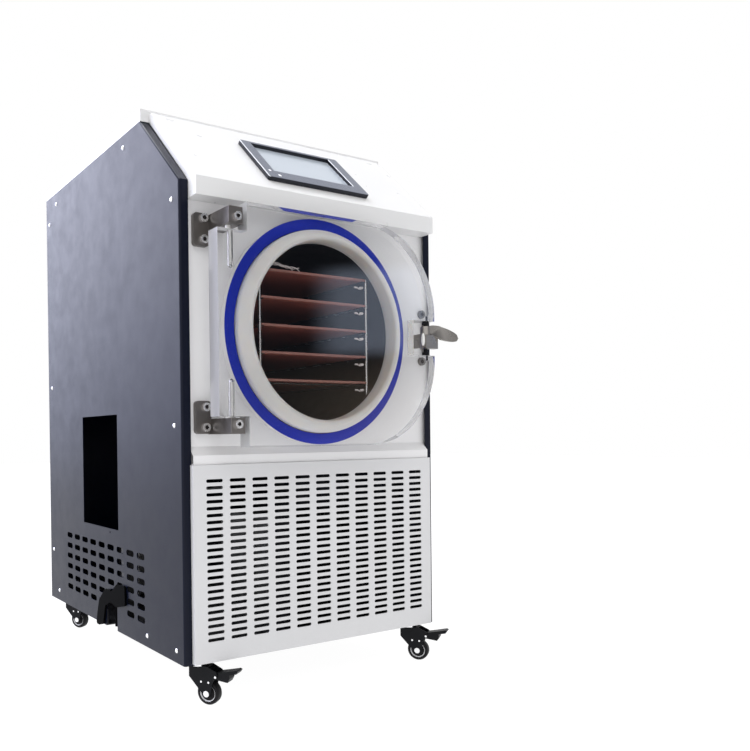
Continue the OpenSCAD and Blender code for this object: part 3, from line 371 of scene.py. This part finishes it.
def tinted(piece, material, chosen):
    """Gives a second material to the faces of a piece whose middle and normal are chosen."""
    piece.data.materials.append(material)
    last = len(piece.data.materials) - 1
    for face in piece.data.polygons:
        if chosen(face.center, face.normal):
            face.material_index = last


# Moulded plastic and rubber: a fine grain and worn, uneven gloss.
mould_tree, mould_in, mould_out = effect_tree(
    "moulded grain",
    [("Colour", "Color", (0.5, 0.5, 0.5, 1)), ("Roughness", "Float", 0.5), ("Grain Size", "Float", 2500.0),
     ("Grain Depth", "Float", 0.2), ("Dust", "Float", 0.1)],
)
grain = noise(mould_tree, mould_in.outputs["Grain Size"], detail=3)
pitted = bump(mould_tree, grain, mould_in.outputs["Grain Depth"], distance=0.0002)
film = spread(mould_tree, noise(mould_tree, scale=60, detail=5), 0.0, mould_in.outputs["Dust"])
dusty = blended(mould_tree, film, mould_in.outputs["Colour"], (0.35, 0.34, 0.33))
worn = combined(mould_tree, "ADD", mould_in.outputs["Roughness"], spread(mould_tree, grain, -0.05, 0.05))
deliver(mould_tree, mould_out, dusty, worn, pitted)


def moulded(name, colour, roughness, grain_depth=0.2, dust=0.06):
    """Moulded plastic or rubber."""
    material, tree, shader = new_material(name)
    finish_from(tree, shader, mould_tree, Colour=(*colour, 1), Roughness=roughness,
                Grain_Depth=grain_depth, Dust=dust)
    return material


def dull(material, level):
    """Lowers how strongly a surface mirrors its surroundings; 0.5 is usual."""
    material.node_tree.nodes["Principled BSDF"].inputs["Specular IOR Level"].default_value = level


caster_black = moulded("caster nylon", (0.003, 0.0035, 0.005), 0.4, dust=0.006)
tread_rubber = moulded("tread", (0.006, 0.006, 0.007), 0.5, dust=0.02)
wheel_ring = moulded("wheel ring", (0.78, 0.78, 0.8), 0.35, dust=0.05)
dull(caster_black, 0.15)
dull(tread_rubber, 0.15)

# Drawn, rolled or brushed metal: fine scratches along one direction and blotches in the gloss.
brushed_tree, brushed_in, brushed_out = effect_tree(
    "brushed metal",
    [("Colour", "Color", (0.5, 0.5, 0.5, 1)), ("Roughness", "Float", 0.3),
     ("Stretch", "Vector", (1, 1, 0.03)), ("Scratch Depth", "Float", 0.15)],
)
place_node = brushed_tree.nodes.new("ShaderNodeTexCoord")
stretched = brushed_tree.nodes.new("ShaderNodeVectorMath")
stretched.operation = "MULTIPLY"
brushed_tree.links.new(place_node.outputs["Object"], stretched.inputs[0])
brushed_tree.links.new(brushed_in.outputs["Stretch"], stretched.inputs[1])
scratches = noise(brushed_tree, scale=1500, detail=3, vector=stretched.outputs["Vector"])
streaks = spread(brushed_tree, scratches, 0.88, 1.1)
streaked = scaled_colour(brushed_tree, brushed_in.outputs["Colour"], streaks)
blotches = spread(brushed_tree, noise(brushed_tree, scale=35, detail=4), -0.05, 0.06)
blotched = combined(brushed_tree, "ADD", brushed_in.outputs["Roughness"], blotches)
scratched = bump(brushed_tree, scratches, brushed_in.outputs["Scratch Depth"], distance=0.0002)
deliver(brushed_tree, brushed_out, streaked, blotched, scratched)


def metal(name, colour, roughness, stretch=(1, 1, 0.03), scratch_depth=0.12):
    """Bare metal with a brushed grain, which runs along the axis whose stretch is smallest."""
    material, tree, shader = new_material(name)
    finish_from(tree, shader, brushed_tree, Colour=(*colour, 1), Roughness=roughness, Stretch=stretch,
                Scratch_Depth=scratch_depth)
    shader.inputs["Metallic"].default_value = 1.0
    return material


# Every fork trails the same way, so the axles are parallel. The pale ring is a band on both faces
# of a wheel, and only the rivets stand out past the fork's cheeks.
bright = metal("bright screws", (0.92, 0.92, 0.93), 0.26)
trail_turn = math.radians(-58)
axle_way = Vector((-math.sin(trail_turn), math.cos(trail_turn), 0))
ring_inner = 0.0135
ring_outer = 0.0176
cheek_face = 0.0151


def off_axle(spot, hub):
    """How far a spot is from the axle through a hub."""
    arm = spot - hub
    return (arm - arm.dot(axle_way) * axle_way).length


for corner in ("front_left", "front_right", "rear_left", "rear_right"):
    hub = middle_of("wheel_" + corner)
    wheel = softened("wheel_" + corner, 0.0003, tread_rubber)
    tinted(wheel, wheel_ring, lambda spot, facing: (
        ring_inner < off_axle(spot, hub) < ring_outer and abs(facing.dot(axle_way)) > 0.3))
    fork = softened("fork_" + corner, 0.0005, caster_black)
    tinted(fork, bright, lambda spot, facing: abs((spot - hub).dot(axle_way)) > cheek_face)
paint(caster_black, "caster_plates", "pedal_left", "pedal_right")

# ---- Refrigeration set ------------------------------------------------------------------------
# A black compressor can, a finned aluminium condenser with its fan, and a grey electric box on the
# tray. They are seen in glimpses through the slots.

fin_aluminium = metal("fin aluminium", (0.62, 0.63, 0.65), 0.38)
zinc = metal("zinc plate", (0.60, 0.61, 0.62), 0.35)
paint(fin_aluminium, "fan_blades")
# The condenser's aluminium fins are painted near black as painted shade for the dark inside of the
# cabinet.
paint(metal("condenser fins painted shade", (0.03, 0.03, 0.033), 0.7), "condenser")
paint(zinc, "fan_motor", "drain_pipe")
paint(black_spray, "compressor", "fan_shroud")
paint(coated("electric box grey", (0.14, 0.142, 0.145), 0.45), "electric_box")

# ---- Vacuum chamber ---------------------------------------------------------------------------
# A dished stainless cylinder in black foam. Its steel is painted near black as painted shade, with a
# painted bluish reflection above and a painted warm reflection of the shelves below. Its rack holds
# five copper-brown plates with orange-red silicone heating mats stuck underneath, each with a crimped
# terminal at its front right corner.

stainless = metal("stainless", (0.40, 0.39, 0.38), 0.3)
chamber_steel_painted_shade = metal("chamber steel painted shade", (0.05, 0.052, 0.055), 0.42, stretch=(1, 0.03, 1))
tree = chamber_steel_painted_shade.node_tree
spot = tree.nodes.new("ShaderNodeSeparateXYZ")
tree.links.new(tree.nodes.new("ShaderNodeTexCoord").outputs["Object"], spot.inputs["Vector"])
axis_height = middle_of("chamber_flange").z
# The wall's colour is painted light: near-black painted shade with a bluish painted reflection above the
# axis, and a warm painted reflection of the shelves below it.
painted_reflection_upper_share = graded(tree, spot.outputs["Z"], axis_height - 0.12, axis_height + 0.06)
painted_shade_and_reflection_colour = blended(tree, painted_reflection_upper_share, (0.17, 0.135, 0.115), (0.045, 0.05, 0.058))
effect = next(node for node in tree.nodes if node.type == "GROUP")
tree.links.new(painted_shade_and_reflection_colour, effect.inputs["Colour"])
paint(chamber_steel_painted_shade, "chamber_shell", "chamber_flange")
paint(stainless, "vacuum_pipe")
rack = softened("shelf_rack", 0.0002, metal("rack wire", (0.55, 0.54, 0.53), 0.25))
low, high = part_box("shelf_1")


def is_tie(spot, facing):
    """Whether a face of the rack lies between the uprights or under the lowest shelf."""
    if low.x + 0.002 < spot.x < high.x - 0.002:
        return True
    return spot.z < low.z - 0.0005 and abs(facing.z) > 0.05


tinted(rack, metal("rack ties", (0.06, 0.055, 0.05), 0.4), is_tie)
paint(moulded("foam", (0.012, 0.012, 0.012), 0.9), "insulation")
shelf_plate = coated("shelf plate", (0.34, 0.15, 0.12), 0.32)
paint(shelf_plate, *["shelf_%d" % number for number in range(1, 6)])
paint(moulded("heater silicone", (0.36, 0.10, 0.07), 0.4), "heater_mats")


def wire(name, material, body, points):
    """A round lead or sleeve through points given as (x, y, z, radius), moving with a body."""
    bpy.ops.object.select_all(action="DESELECT")
    bpy.ops.curve.primitive_bezier_curve_add(location=(0, 0, 0))
    lead = bpy.context.object
    lead.data.bevel_depth = 1
    lead.data.bevel_resolution = 3
    lead.data.resolution_u = 5
    lead.data.use_fill_caps = True
    knots = lead.data.splines[0].bezier_points
    knots.add(len(points) - len(knots))
    for knot, (x, y, z, radius) in zip(knots, points):
        knot.co = (x, y, z)
        knot.radius = radius
        knot.handle_left_type = knot.handle_right_type = "AUTO"
    bpy.ops.object.convert(target="MESH")
    lead = bpy.context.object
    lead.name = name
    bpy.ops.object.shade_smooth_by_angle(angle=math.radians(50))
    lead.data.materials.clear()
    lead.data.materials.append(material)
    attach(lead, body)


lead_white = moulded("lead insulation", (0.80, 0.74, 0.72), 0.5, grain_depth=0.1, dust=0.1)

# A terminal is a crimped sleeve, a bare neck and a ring end; each point is (along x, up, radius).
terminal_outline = (
    (0, -0.001, 0.0008), (0.001, 0, 0.0022), (0.009, -0.0005, 0.0020), (0.010, -0.001, 0.0009),
    (0.014, -0.003, 0.0009), (0.016, -0.001, 0.0034), (0.024, 0.0005, 0.0030), (0.026, 0.001, 0.0012),
)
terminal_inset = 0.030
terminal_drop = 0.020
for number in range(1, 6):
    low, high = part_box("shelf_%d" % number)
    x = high[0] - terminal_inset
    y = low[1] + 0.004
    z = high[2] - terminal_drop
    sleeve = [(x + along, y, z + up, radius) for along, up, radius in terminal_outline]
    wire("terminal_%d" % number, lead_white, "cabinet", sleeve)

# Two pairs of leads come down onto the top shelf, each twisted through lead_twist radians and
# spread at its free ends.
lead_radius = 0.0011
lead_twist = 14
untwisted_from = 0.75
low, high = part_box("shelf_5")
for pair, (lift, reach, back) in enumerate(((0.024, 0.098, 0.020), (0.012, 0.108, 0.010))):
    for strand in (0, 1):
        points = []
        for step in range(13):
            along = step / 12
            turn = along * lead_twist + strand * math.pi
            spacing = 0.0016 + 0.01 * max(0.0, along - untwisted_from)
            x = low[0] + along * reach
            y = low[1] + back + spacing * math.cos(turn)
            z = high[2] + 0.0026 + lift * (1 - along) ** 0.7 + spacing * (1 + math.sin(turn))
            points.append((x, y, z, lead_radius))
        wire("mat_lead_%d_%d" % (pair, strand), lead_white, "cabinet", points)

# ---- Front panels -----------------------------------------------------------------------------
# The panel round the chamber and the slotted panel below it are folded steel in pale grey powder
# coat. A sloped sill closes the step between them, and the slotted panel's coat is made darker as
# painted shade.

pale_coat = coated("pale grey coat", (0.80, 0.795, 0.80), 0.33, peel_depth=0.1, mottle=0.02)
# The slotted panel has the same paint as the panel above; its darker colour is painted shade.
vent_coat_painted_shade = coated("vent panel coat painted shade", (0.655, 0.655, 0.665), 0.38, peel_depth=0.1, mottle=0.02)
paint(pale_coat, "front_panel")
softened("vent_panel", 0.0006, vent_coat_painted_shade)

# ---- Side and back panels ---------------------------------------------------------------------
# Folded sheets in navy powder coat with a satin sheen, screwed to the frame with bright screws.
# The side panels are bent inwards along the front and the slope, and their bends are rounded.

navy_coat = coated("navy coat", (0.0018, 0.0034, 0.0125), 0.36, peel_depth=0.22, mottle=0.06)
dull(navy_coat, 0.18)
paint(navy_coat, "back_panel")
slope_run = 0.179
bend_radius = 0.005
shortest_bend = 0.1
touching = 1e-4


def folded_panel(node):
    """A copy of a side panel whose folds at the front and along the slope are rounded."""
    piece = clean_copy(node, "_folded")
    bpy.ops.mesh.select_all(action="DESELECT")
    low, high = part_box(node)
    outer = low.x if abs(low.x) > abs(high.x) else high.x

    def on_bend(vertex):
        """Whether a vertex lies on the outer face's front edge or on its slope."""
        spot = vertex.co
        above_slope = (spot.z - high.z) - (spot.y - front - slope_run)
        return abs(spot.x - outer) < touching and (spot.y - front < touching or above_slope > -touching)

    shape = bmesh.from_edit_mesh(piece.data)
    for edge in shape.edges:
        edge.select = all(on_bend(vertex) for vertex in edge.verts) and edge.calc_length() > shortest_bend
    bmesh.update_edit_mesh(piece.data)
    bpy.ops.mesh.bevel(offset=bend_radius, segments=5)
    bpy.ops.object.mode_set(mode="OBJECT")
    shade(piece, 32)
    stand_for(piece, node, navy_coat)


folded_panel("side_panel_left")
folded_panel("side_panel_right")
paint(bright, "panel_screws")

# ---- Top cover and control hood ---------------------------------------------------------------
# White powder-coated covers, glossier than the front panels. The hood slopes at 45 degrees, has
# the cut-out for the touch panel and ends in a lip over the door.

white_coat = coated("white coat", (0.735, 0.735, 0.735), 0.3, peel_depth=0.1, mottle=0.015)
softened("top_cover", 0.0015, white_coat)
softened("control_hood", 0.003, white_coat)

# ---- Touch panel ------------------------------------------------------------------------------
# A dark moulded bezel clamped into the hood's cut-out, with a pale display behind a matt film.
# The bezel's face is greyer than its sides, its left bevel carries a painted pale highlight, and
# it carries a small key and an indicator in the lower left corner.

bezel_side = moulded("bezel sides", (0.005, 0.006, 0.012), 0.4, grain_depth=0.1, dust=0.01)
dull(bezel_side, 0.3)
bezel_face = moulded("bezel face", (0.095, 0.11, 0.155), 0.3, grain_depth=0.1, dust=0.05)
slope_out = Vector((0, -math.sqrt(0.5), math.sqrt(0.5)))
panel = softened("hmi_bezel", 0.0014, bezel_side)
face_level = max(vertex.co.dot(slope_out) for vertex in panel.data.vertices) - 0.0006
tinted(panel, bezel_face, lambda spot, facing: (
    facing.dot(slope_out) > 0.9 and spot.dot(slope_out) > face_level))
# The pale colour on the left bevel is a painted highlight, not wear.
painted_highlight_edge = moulded("bezel painted highlight", (0.75, 0.77, 0.8), 0.25)
tinted(panel, painted_highlight_edge, lambda spot, facing: facing.x < -0.3 and 0.2 < facing.dot(slope_out) < 0.95)
display = moulded("display film", (0.46, 0.51, 0.57), 0.22, grain_depth=0.03, dust=0.02)
paint(display, "hmi_screen")
slope_up = Vector((0, math.sqrt(0.5), math.sqrt(0.5)))
lower_end = min(vertex.co.dot(slope_up) for vertex in panel.data.vertices)
left_end = min(vertex.co.x for vertex in panel.data.vertices)
button_seat = face_level - 0.0002


def on_bezel(across, up):
    """A spot on the bezel's face, from its lower left corner."""
    return Vector((left_end + across, 0, 0)) + (lower_end + up) * slope_up + button_seat * slope_out


def button(name, place, way, radius, height, material, body):
    """A disc with a rounded outer face that looks along way, with its middle at place."""
    bpy.ops.object.select_all(action="DESELECT")
    bpy.ops.mesh.primitive_cylinder_add(vertices=28, radius=radius, depth=height)
    disc = bpy.context.object
    disc.name = name
    bpy.ops.object.mode_set(mode="EDIT")
    bpy.ops.mesh.select_mode(type="EDGE")
    bpy.ops.mesh.select_all(action="DESELECT")
    shape = bmesh.from_edit_mesh(disc.data)
    for edge in shape.edges:
        edge.select = all(vertex.co.z > 0 for vertex in edge.verts)
    bmesh.update_edit_mesh(disc.data)
    bpy.ops.mesh.bevel(offset=min(height * 0.8, radius * 0.5), segments=3)
    bpy.ops.object.mode_set(mode="OBJECT")
    bpy.ops.object.shade_smooth_by_angle(angle=math.radians(40))
    disc.data.transform(Matrix.Translation(place) @ way.to_track_quat("Z", "Y").to_matrix().to_4x4())
    disc.data.materials.clear()
    disc.data.materials.append(material)
    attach(disc, body)
    return disc


key_plastic = moulded("key", (0.85, 0.86, 0.88), 0.4)
lens_plastic = moulded("indicator", (0.9, 0.9, 0.92), 0.3)
key_spot = on_bezel(0.033, 0.013)
lens_spot = on_bezel(0.015, 0.030)
button_height = 0.0022
button("key", key_spot, slope_out, 0.0052, button_height, key_plastic, "cabinet")
button("indicator", lens_spot, slope_out, 0.0045, button_height, lens_plastic, "cabinet")

# ---- Door seal --------------------------------------------------------------------------------
# A cream silicone ring stretched over the chamber's flange, and a blue silicone ring round it on
# the front panel's collar. Both are turned about the chamber's axis.

cream = moulded("cream silicone", (0.86, 0.835, 0.80), 0.42, grain_depth=0.06, dust=0.0)
cream_shader = cream.node_tree.nodes["Principled BSDF"]
cream_shader.inputs["Subsurface Weight"].default_value = 0.6
cream_shader.inputs["Subsurface Radius"].default_value = (1.0, 0.85, 0.7)
cream_shader.inputs["Subsurface Scale"].default_value = 0.02
blue = moulded("blue silicone", (0.006, 0.022, 0.40), 0.35, grain_depth=0.05, dust=0.0)
dull(blue, 0.15)


def lathed(node, material, outline):
    """A ring round the chamber's axis that stands for a node; outline is a loop of (radius, y)."""
    axis = middle_of("chamber_flange")
    bpy.ops.object.select_all(action="DESELECT")
    bpy.ops.mesh.primitive_circle_add(vertices=len(outline))
    ring = bpy.context.object
    ring.name = node + "_lathed"
    for vertex, (radius, y) in zip(ring.data.vertices, outline):
        vertex.co = (axis.x + radius, front + y, axis.z)
    bpy.ops.object.mode_set(mode="EDIT")
    bpy.ops.mesh.select_all(action="SELECT")
    bpy.ops.mesh.spin(steps=192, angle=2 * math.pi, center=(axis.x, 0, axis.z), axis=(0, 1, 0))
    bpy.ops.mesh.select_all(action="SELECT")
    bpy.ops.mesh.remove_doubles(threshold=1e-6)
    bpy.ops.mesh.normals_make_consistent(inside=False)
    bpy.ops.object.mode_set(mode="OBJECT")
    bpy.ops.object.shade_smooth_by_angle(angle=math.radians(35))
    stand_for(ring, node, material)


# The seal's narrow crest meets the door and is rounded towards the bore; its shoulder falls away in
# a soft cone.
crest = []
for angle in range(0, 91, 15):
    turn = math.radians(angle)
    crest.append((0.203 - 0.008 * math.cos(turn), -0.0337 - 0.008 * math.sin(turn)))
shoulder = [(0.2045, -0.0415), (0.2065, -0.0400), (0.2195, -0.0238), (0.2214, -0.0206), (0.2222, -0.0172)]
lathed("door_gasket", cream, [(0.195, -0.005)] + crest + shoulder + [(0.2222, -0.005)])
lathed("blue_ring", blue, [(0.2240, -0.007), (0.2240, -0.0084), (0.2246, -0.009), (0.2466, -0.009),
                           (0.2473, -0.0087), (0.2475, -0.008), (0.2472, -0.007)])

# ---- Hinges -----------------------------------------------------------------------------------
# Stainless leaves with arms, held to the panel with socket screws. A bolted block on each arm
# holds a pin that enters a blind hole in the door.

hinge_steel = metal("hinge steel", (0.195, 0.182, 0.174), 0.34, stretch=(1, 0.05, 1))
for node in ("hinge_arm_top", "hinge_arm_bottom", "hinge_block_top", "hinge_block_bottom"):
    softened(node, 0.0016, hinge_steel)
paint(metal("pin steel", (0.80, 0.79, 0.78), 0.55), "hinge_pins")


def loose_parts(mesh):
    """The vertices of each separate part of a mesh."""
    unseen = set(mesh.verts)
    parts = []
    while unseen:
        part = {unseen.pop()}
        newest = set(part)
        while newest:
            near = {link.other_vert(vertex) for vertex in newest for link in vertex.link_edges}
            newest = near - part
            part |= newest
        unseen -= part
        parts.append(part)
    return parts


def cap_screws(node, material, hollow):
    """Screws that point rearwards, with rounded heads and painted shade inside their recesses."""
    screws = softened(node, 0.0019, material)
    shape = bmesh.new()
    shape.from_mesh(screws.data)
    heads = []
    for part in loose_parts(shape):
        lows = [min(vertex.co[axis] for vertex in part) for axis in range(3)]
        highs = [max(vertex.co[axis] for vertex in part) for axis in range(3)]
        radius = (highs[0] - lows[0]) / 2
        heads.append(((lows[0] + highs[0]) / 2, lows[1], (lows[2] + highs[2]) / 2, radius))
    shape.free()
    recess_share = 0.6
    recess_start = 0.0008
    recess_end = 0.02

    def in_recess(spot, facing):
        """Whether a face lies in the middle of a head and behind its outer face."""
        return any(
            math.hypot(spot.x - x, spot.z - z) < recess_share * radius
            and y + recess_start < spot.y < y + recess_end
            for x, y, z, radius in heads)

    tinted(screws, hollow, in_recess)


# The insides of the screw heads' recesses are painted dark as painted shade.
recess_painted_shade = metal("recess", (0.05, 0.045, 0.045), 0.5)
cap_screws("hinge_screws", bright, recess_painted_shade)

# ---- Door -------------------------------------------------------------------------------------
# A 35 mm plate of clear cast acrylic, drilled for the hinge pins. Its arc is polished and bevelled,
# and the bevels are painted bluish as a painted reflection of the blue ring; the left edge and the
# notches are left as the saw cut them.


def cast_acrylic(name, colour, roughness, clearness):
    """Acrylic that lets that share of the light through."""
    material, tree, shader = new_material(name)
    shader.inputs["Base Color"].default_value = (*colour, 1)
    shader.inputs["Roughness"].default_value = roughness
    shader.inputs["IOR"].default_value = 1.49
    shader.inputs["Transmission Weight"].default_value = clearness
    return material


acrylic = cast_acrylic("acrylic", (0.997, 0.998, 1.0), roughness=0.0, clearness=1.0)
door = softened("door_plate", 0.0012, acrylic, angle=40)
low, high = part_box("door_plate")
pins = middle_of("hinge_pins")
pin_hole = 0.008
outer_band = 0.005


def is_sawn(spot, facing):
    """Whether a face is a notch's wall or the left edge, and not the wall of a pin's hole."""
    if math.hypot(spot.x - pins.x, spot.y - pins.y) < pin_hole and abs(facing.z) < 0.9:
        return False
    return facing.x < -0.9 or abs(facing.z) > 0.9 and low.z + outer_band < spot.z < high.z - outer_band


notch_wall = cast_acrylic("notch wall", (0.9, 0.9, 0.91), roughness=0.3, clearness=0.5)
tinted(door, notch_wall, is_sawn)
left_edge = cast_acrylic("sawn acrylic", (0.52, 0.515, 0.52), roughness=0.3, clearness=0.5)
tinted(door, left_edge, lambda spot, facing: facing.x < -0.9 and spot.x < low.x + 0.002)
bore = middle_of("chamber_flange")
bevel_reach = high.x - bore.x - 0.004


def is_arc_bevel(spot, facing):
    """Whether a face belongs to the bevels of the arc at the right of the chamber's axis."""
    if math.hypot(spot.x - bore.x, spot.z - bore.z) < bevel_reach or spot.x < bore.x:
        return False
    return facing.x > 0.1 and 0.25 < abs(facing.y) < 0.95


# The blue on the arc's bevels is a painted reflection of the blue ring in the clear acrylic.
painted_reflection_rim = cast_acrylic("acrylic rim", (0.08, 0.10, 0.38), roughness=0.2, clearness=0.5)
tinted(door, painted_reflection_rim, is_arc_bevel)

# ---- Latch ------------------------------------------------------------------------------------
# A cam with a stainless blade turns on a pin across the door's notch and draws the door to the
# keeper on the cabinet. A white nylon slide strip lies on the cam's left side.

lever_steel = metal("lever steel", (0.36, 0.34, 0.32), 0.3, stretch=(0.05, 1, 1))
softened("latch_keeper", 0.001, lever_steel)
lever = softened("latch_lever", 0.001, lever_steel)
latch_axis = middle_of("latch_pin")

# The blade's neck is drawn in, so that the blade stands close to the cam.
blade_root = latch_axis.x + 0.027
neck_length = 0.010
drawn_in = 0.9
for vertex in lever.data.vertices:
    past = vertex.co.x - blade_root
    if past > 0:
        vertex.co.x -= min(past, neck_length) * drawn_in

# The slide strip starts as a button and is squeezed to an upright oval.
slide_spot = latch_axis + Vector((-0.0145, -0.006, -0.003))
slide_nylon = moulded("slide nylon", (0.82, 0.82, 0.8), 0.35)
slide_way = Vector((-1, 0, 0))
slide_radius = 0.0105
slide_height = 0.0036
slide_narrowing = 0.45
slide_stretch = 1.4
slide = button("cam_slide", slide_spot, slide_way, slide_radius, slide_height, slide_nylon, "lever")
for vertex in slide.data.vertices:
    vertex.co.y = slide_spot.y + (vertex.co.y - slide_spot.y) * slide_narrowing
    vertex.co.z = slide_spot.z + (vertex.co.z - slide_spot.z) * slide_stretch
paint(caster_black, "latch_pin")
cap_screws("keeper_screws", metal("keeper screw steel", (0.22, 0.21, 0.20), 0.3), recess_painted_shade)

# ---- Drain valve ------------------------------------------------------------------------------
# A ball valve moulded in black nylon, which hangs in the notch of the left side panel with its
# spout downwards and a two-winged handle outside.

valve_black = moulded("valve nylon", (0.0015, 0.0016, 0.002), 0.5, dust=0.0)
dull(valve_black, 0.01)
softened("drain_valve_body", 0.001, valve_black)
softened("drain_handle", 0.002, valve_black)

# ---- Mains inlet ------------------------------------------------------------------------------
# A black moulded inlet on the back with a red rocker above its socket, in which three flat pins
# stand.

paint(valve_black, "power_inlet")
pin_depth = 0.012
socket_drop = 0.015
socket = middle_of("power_inlet")
socket.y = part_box("power_inlet")[1].y - pin_depth
socket.z -= socket_drop
pin_size = (0.002, 0.014, 0.004, 1)
for number, (x, z) in enumerate(((-0.007, -0.002), (0, 0.002), (0.007, -0.002))):
    bpy.ops.object.select_all(action="DESELECT")
    bpy.ops.mesh.primitive_cube_add(size=1)
    blade = bpy.context.object
    blade.name = "inlet_pin_%d" % number
    blade.data.transform(Matrix.Translation(socket + Vector((x, 0, z))) @ Matrix.Diagonal(pin_size))
    bpy.ops.object.mode_set(mode="EDIT")
    bpy.ops.mesh.select_all(action="SELECT")
    bpy.ops.mesh.bevel(offset=0.0005, segments=2)
    bpy.ops.object.mode_set(mode="OBJECT")
    bpy.ops.object.shade_smooth_by_angle(angle=math.radians(40))
    blade.data.materials.append(zinc)
    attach(blade, "cabinet")
paint(moulded("rocker red", (0.4, 0.02, 0.02), 0.25), "power_switch")
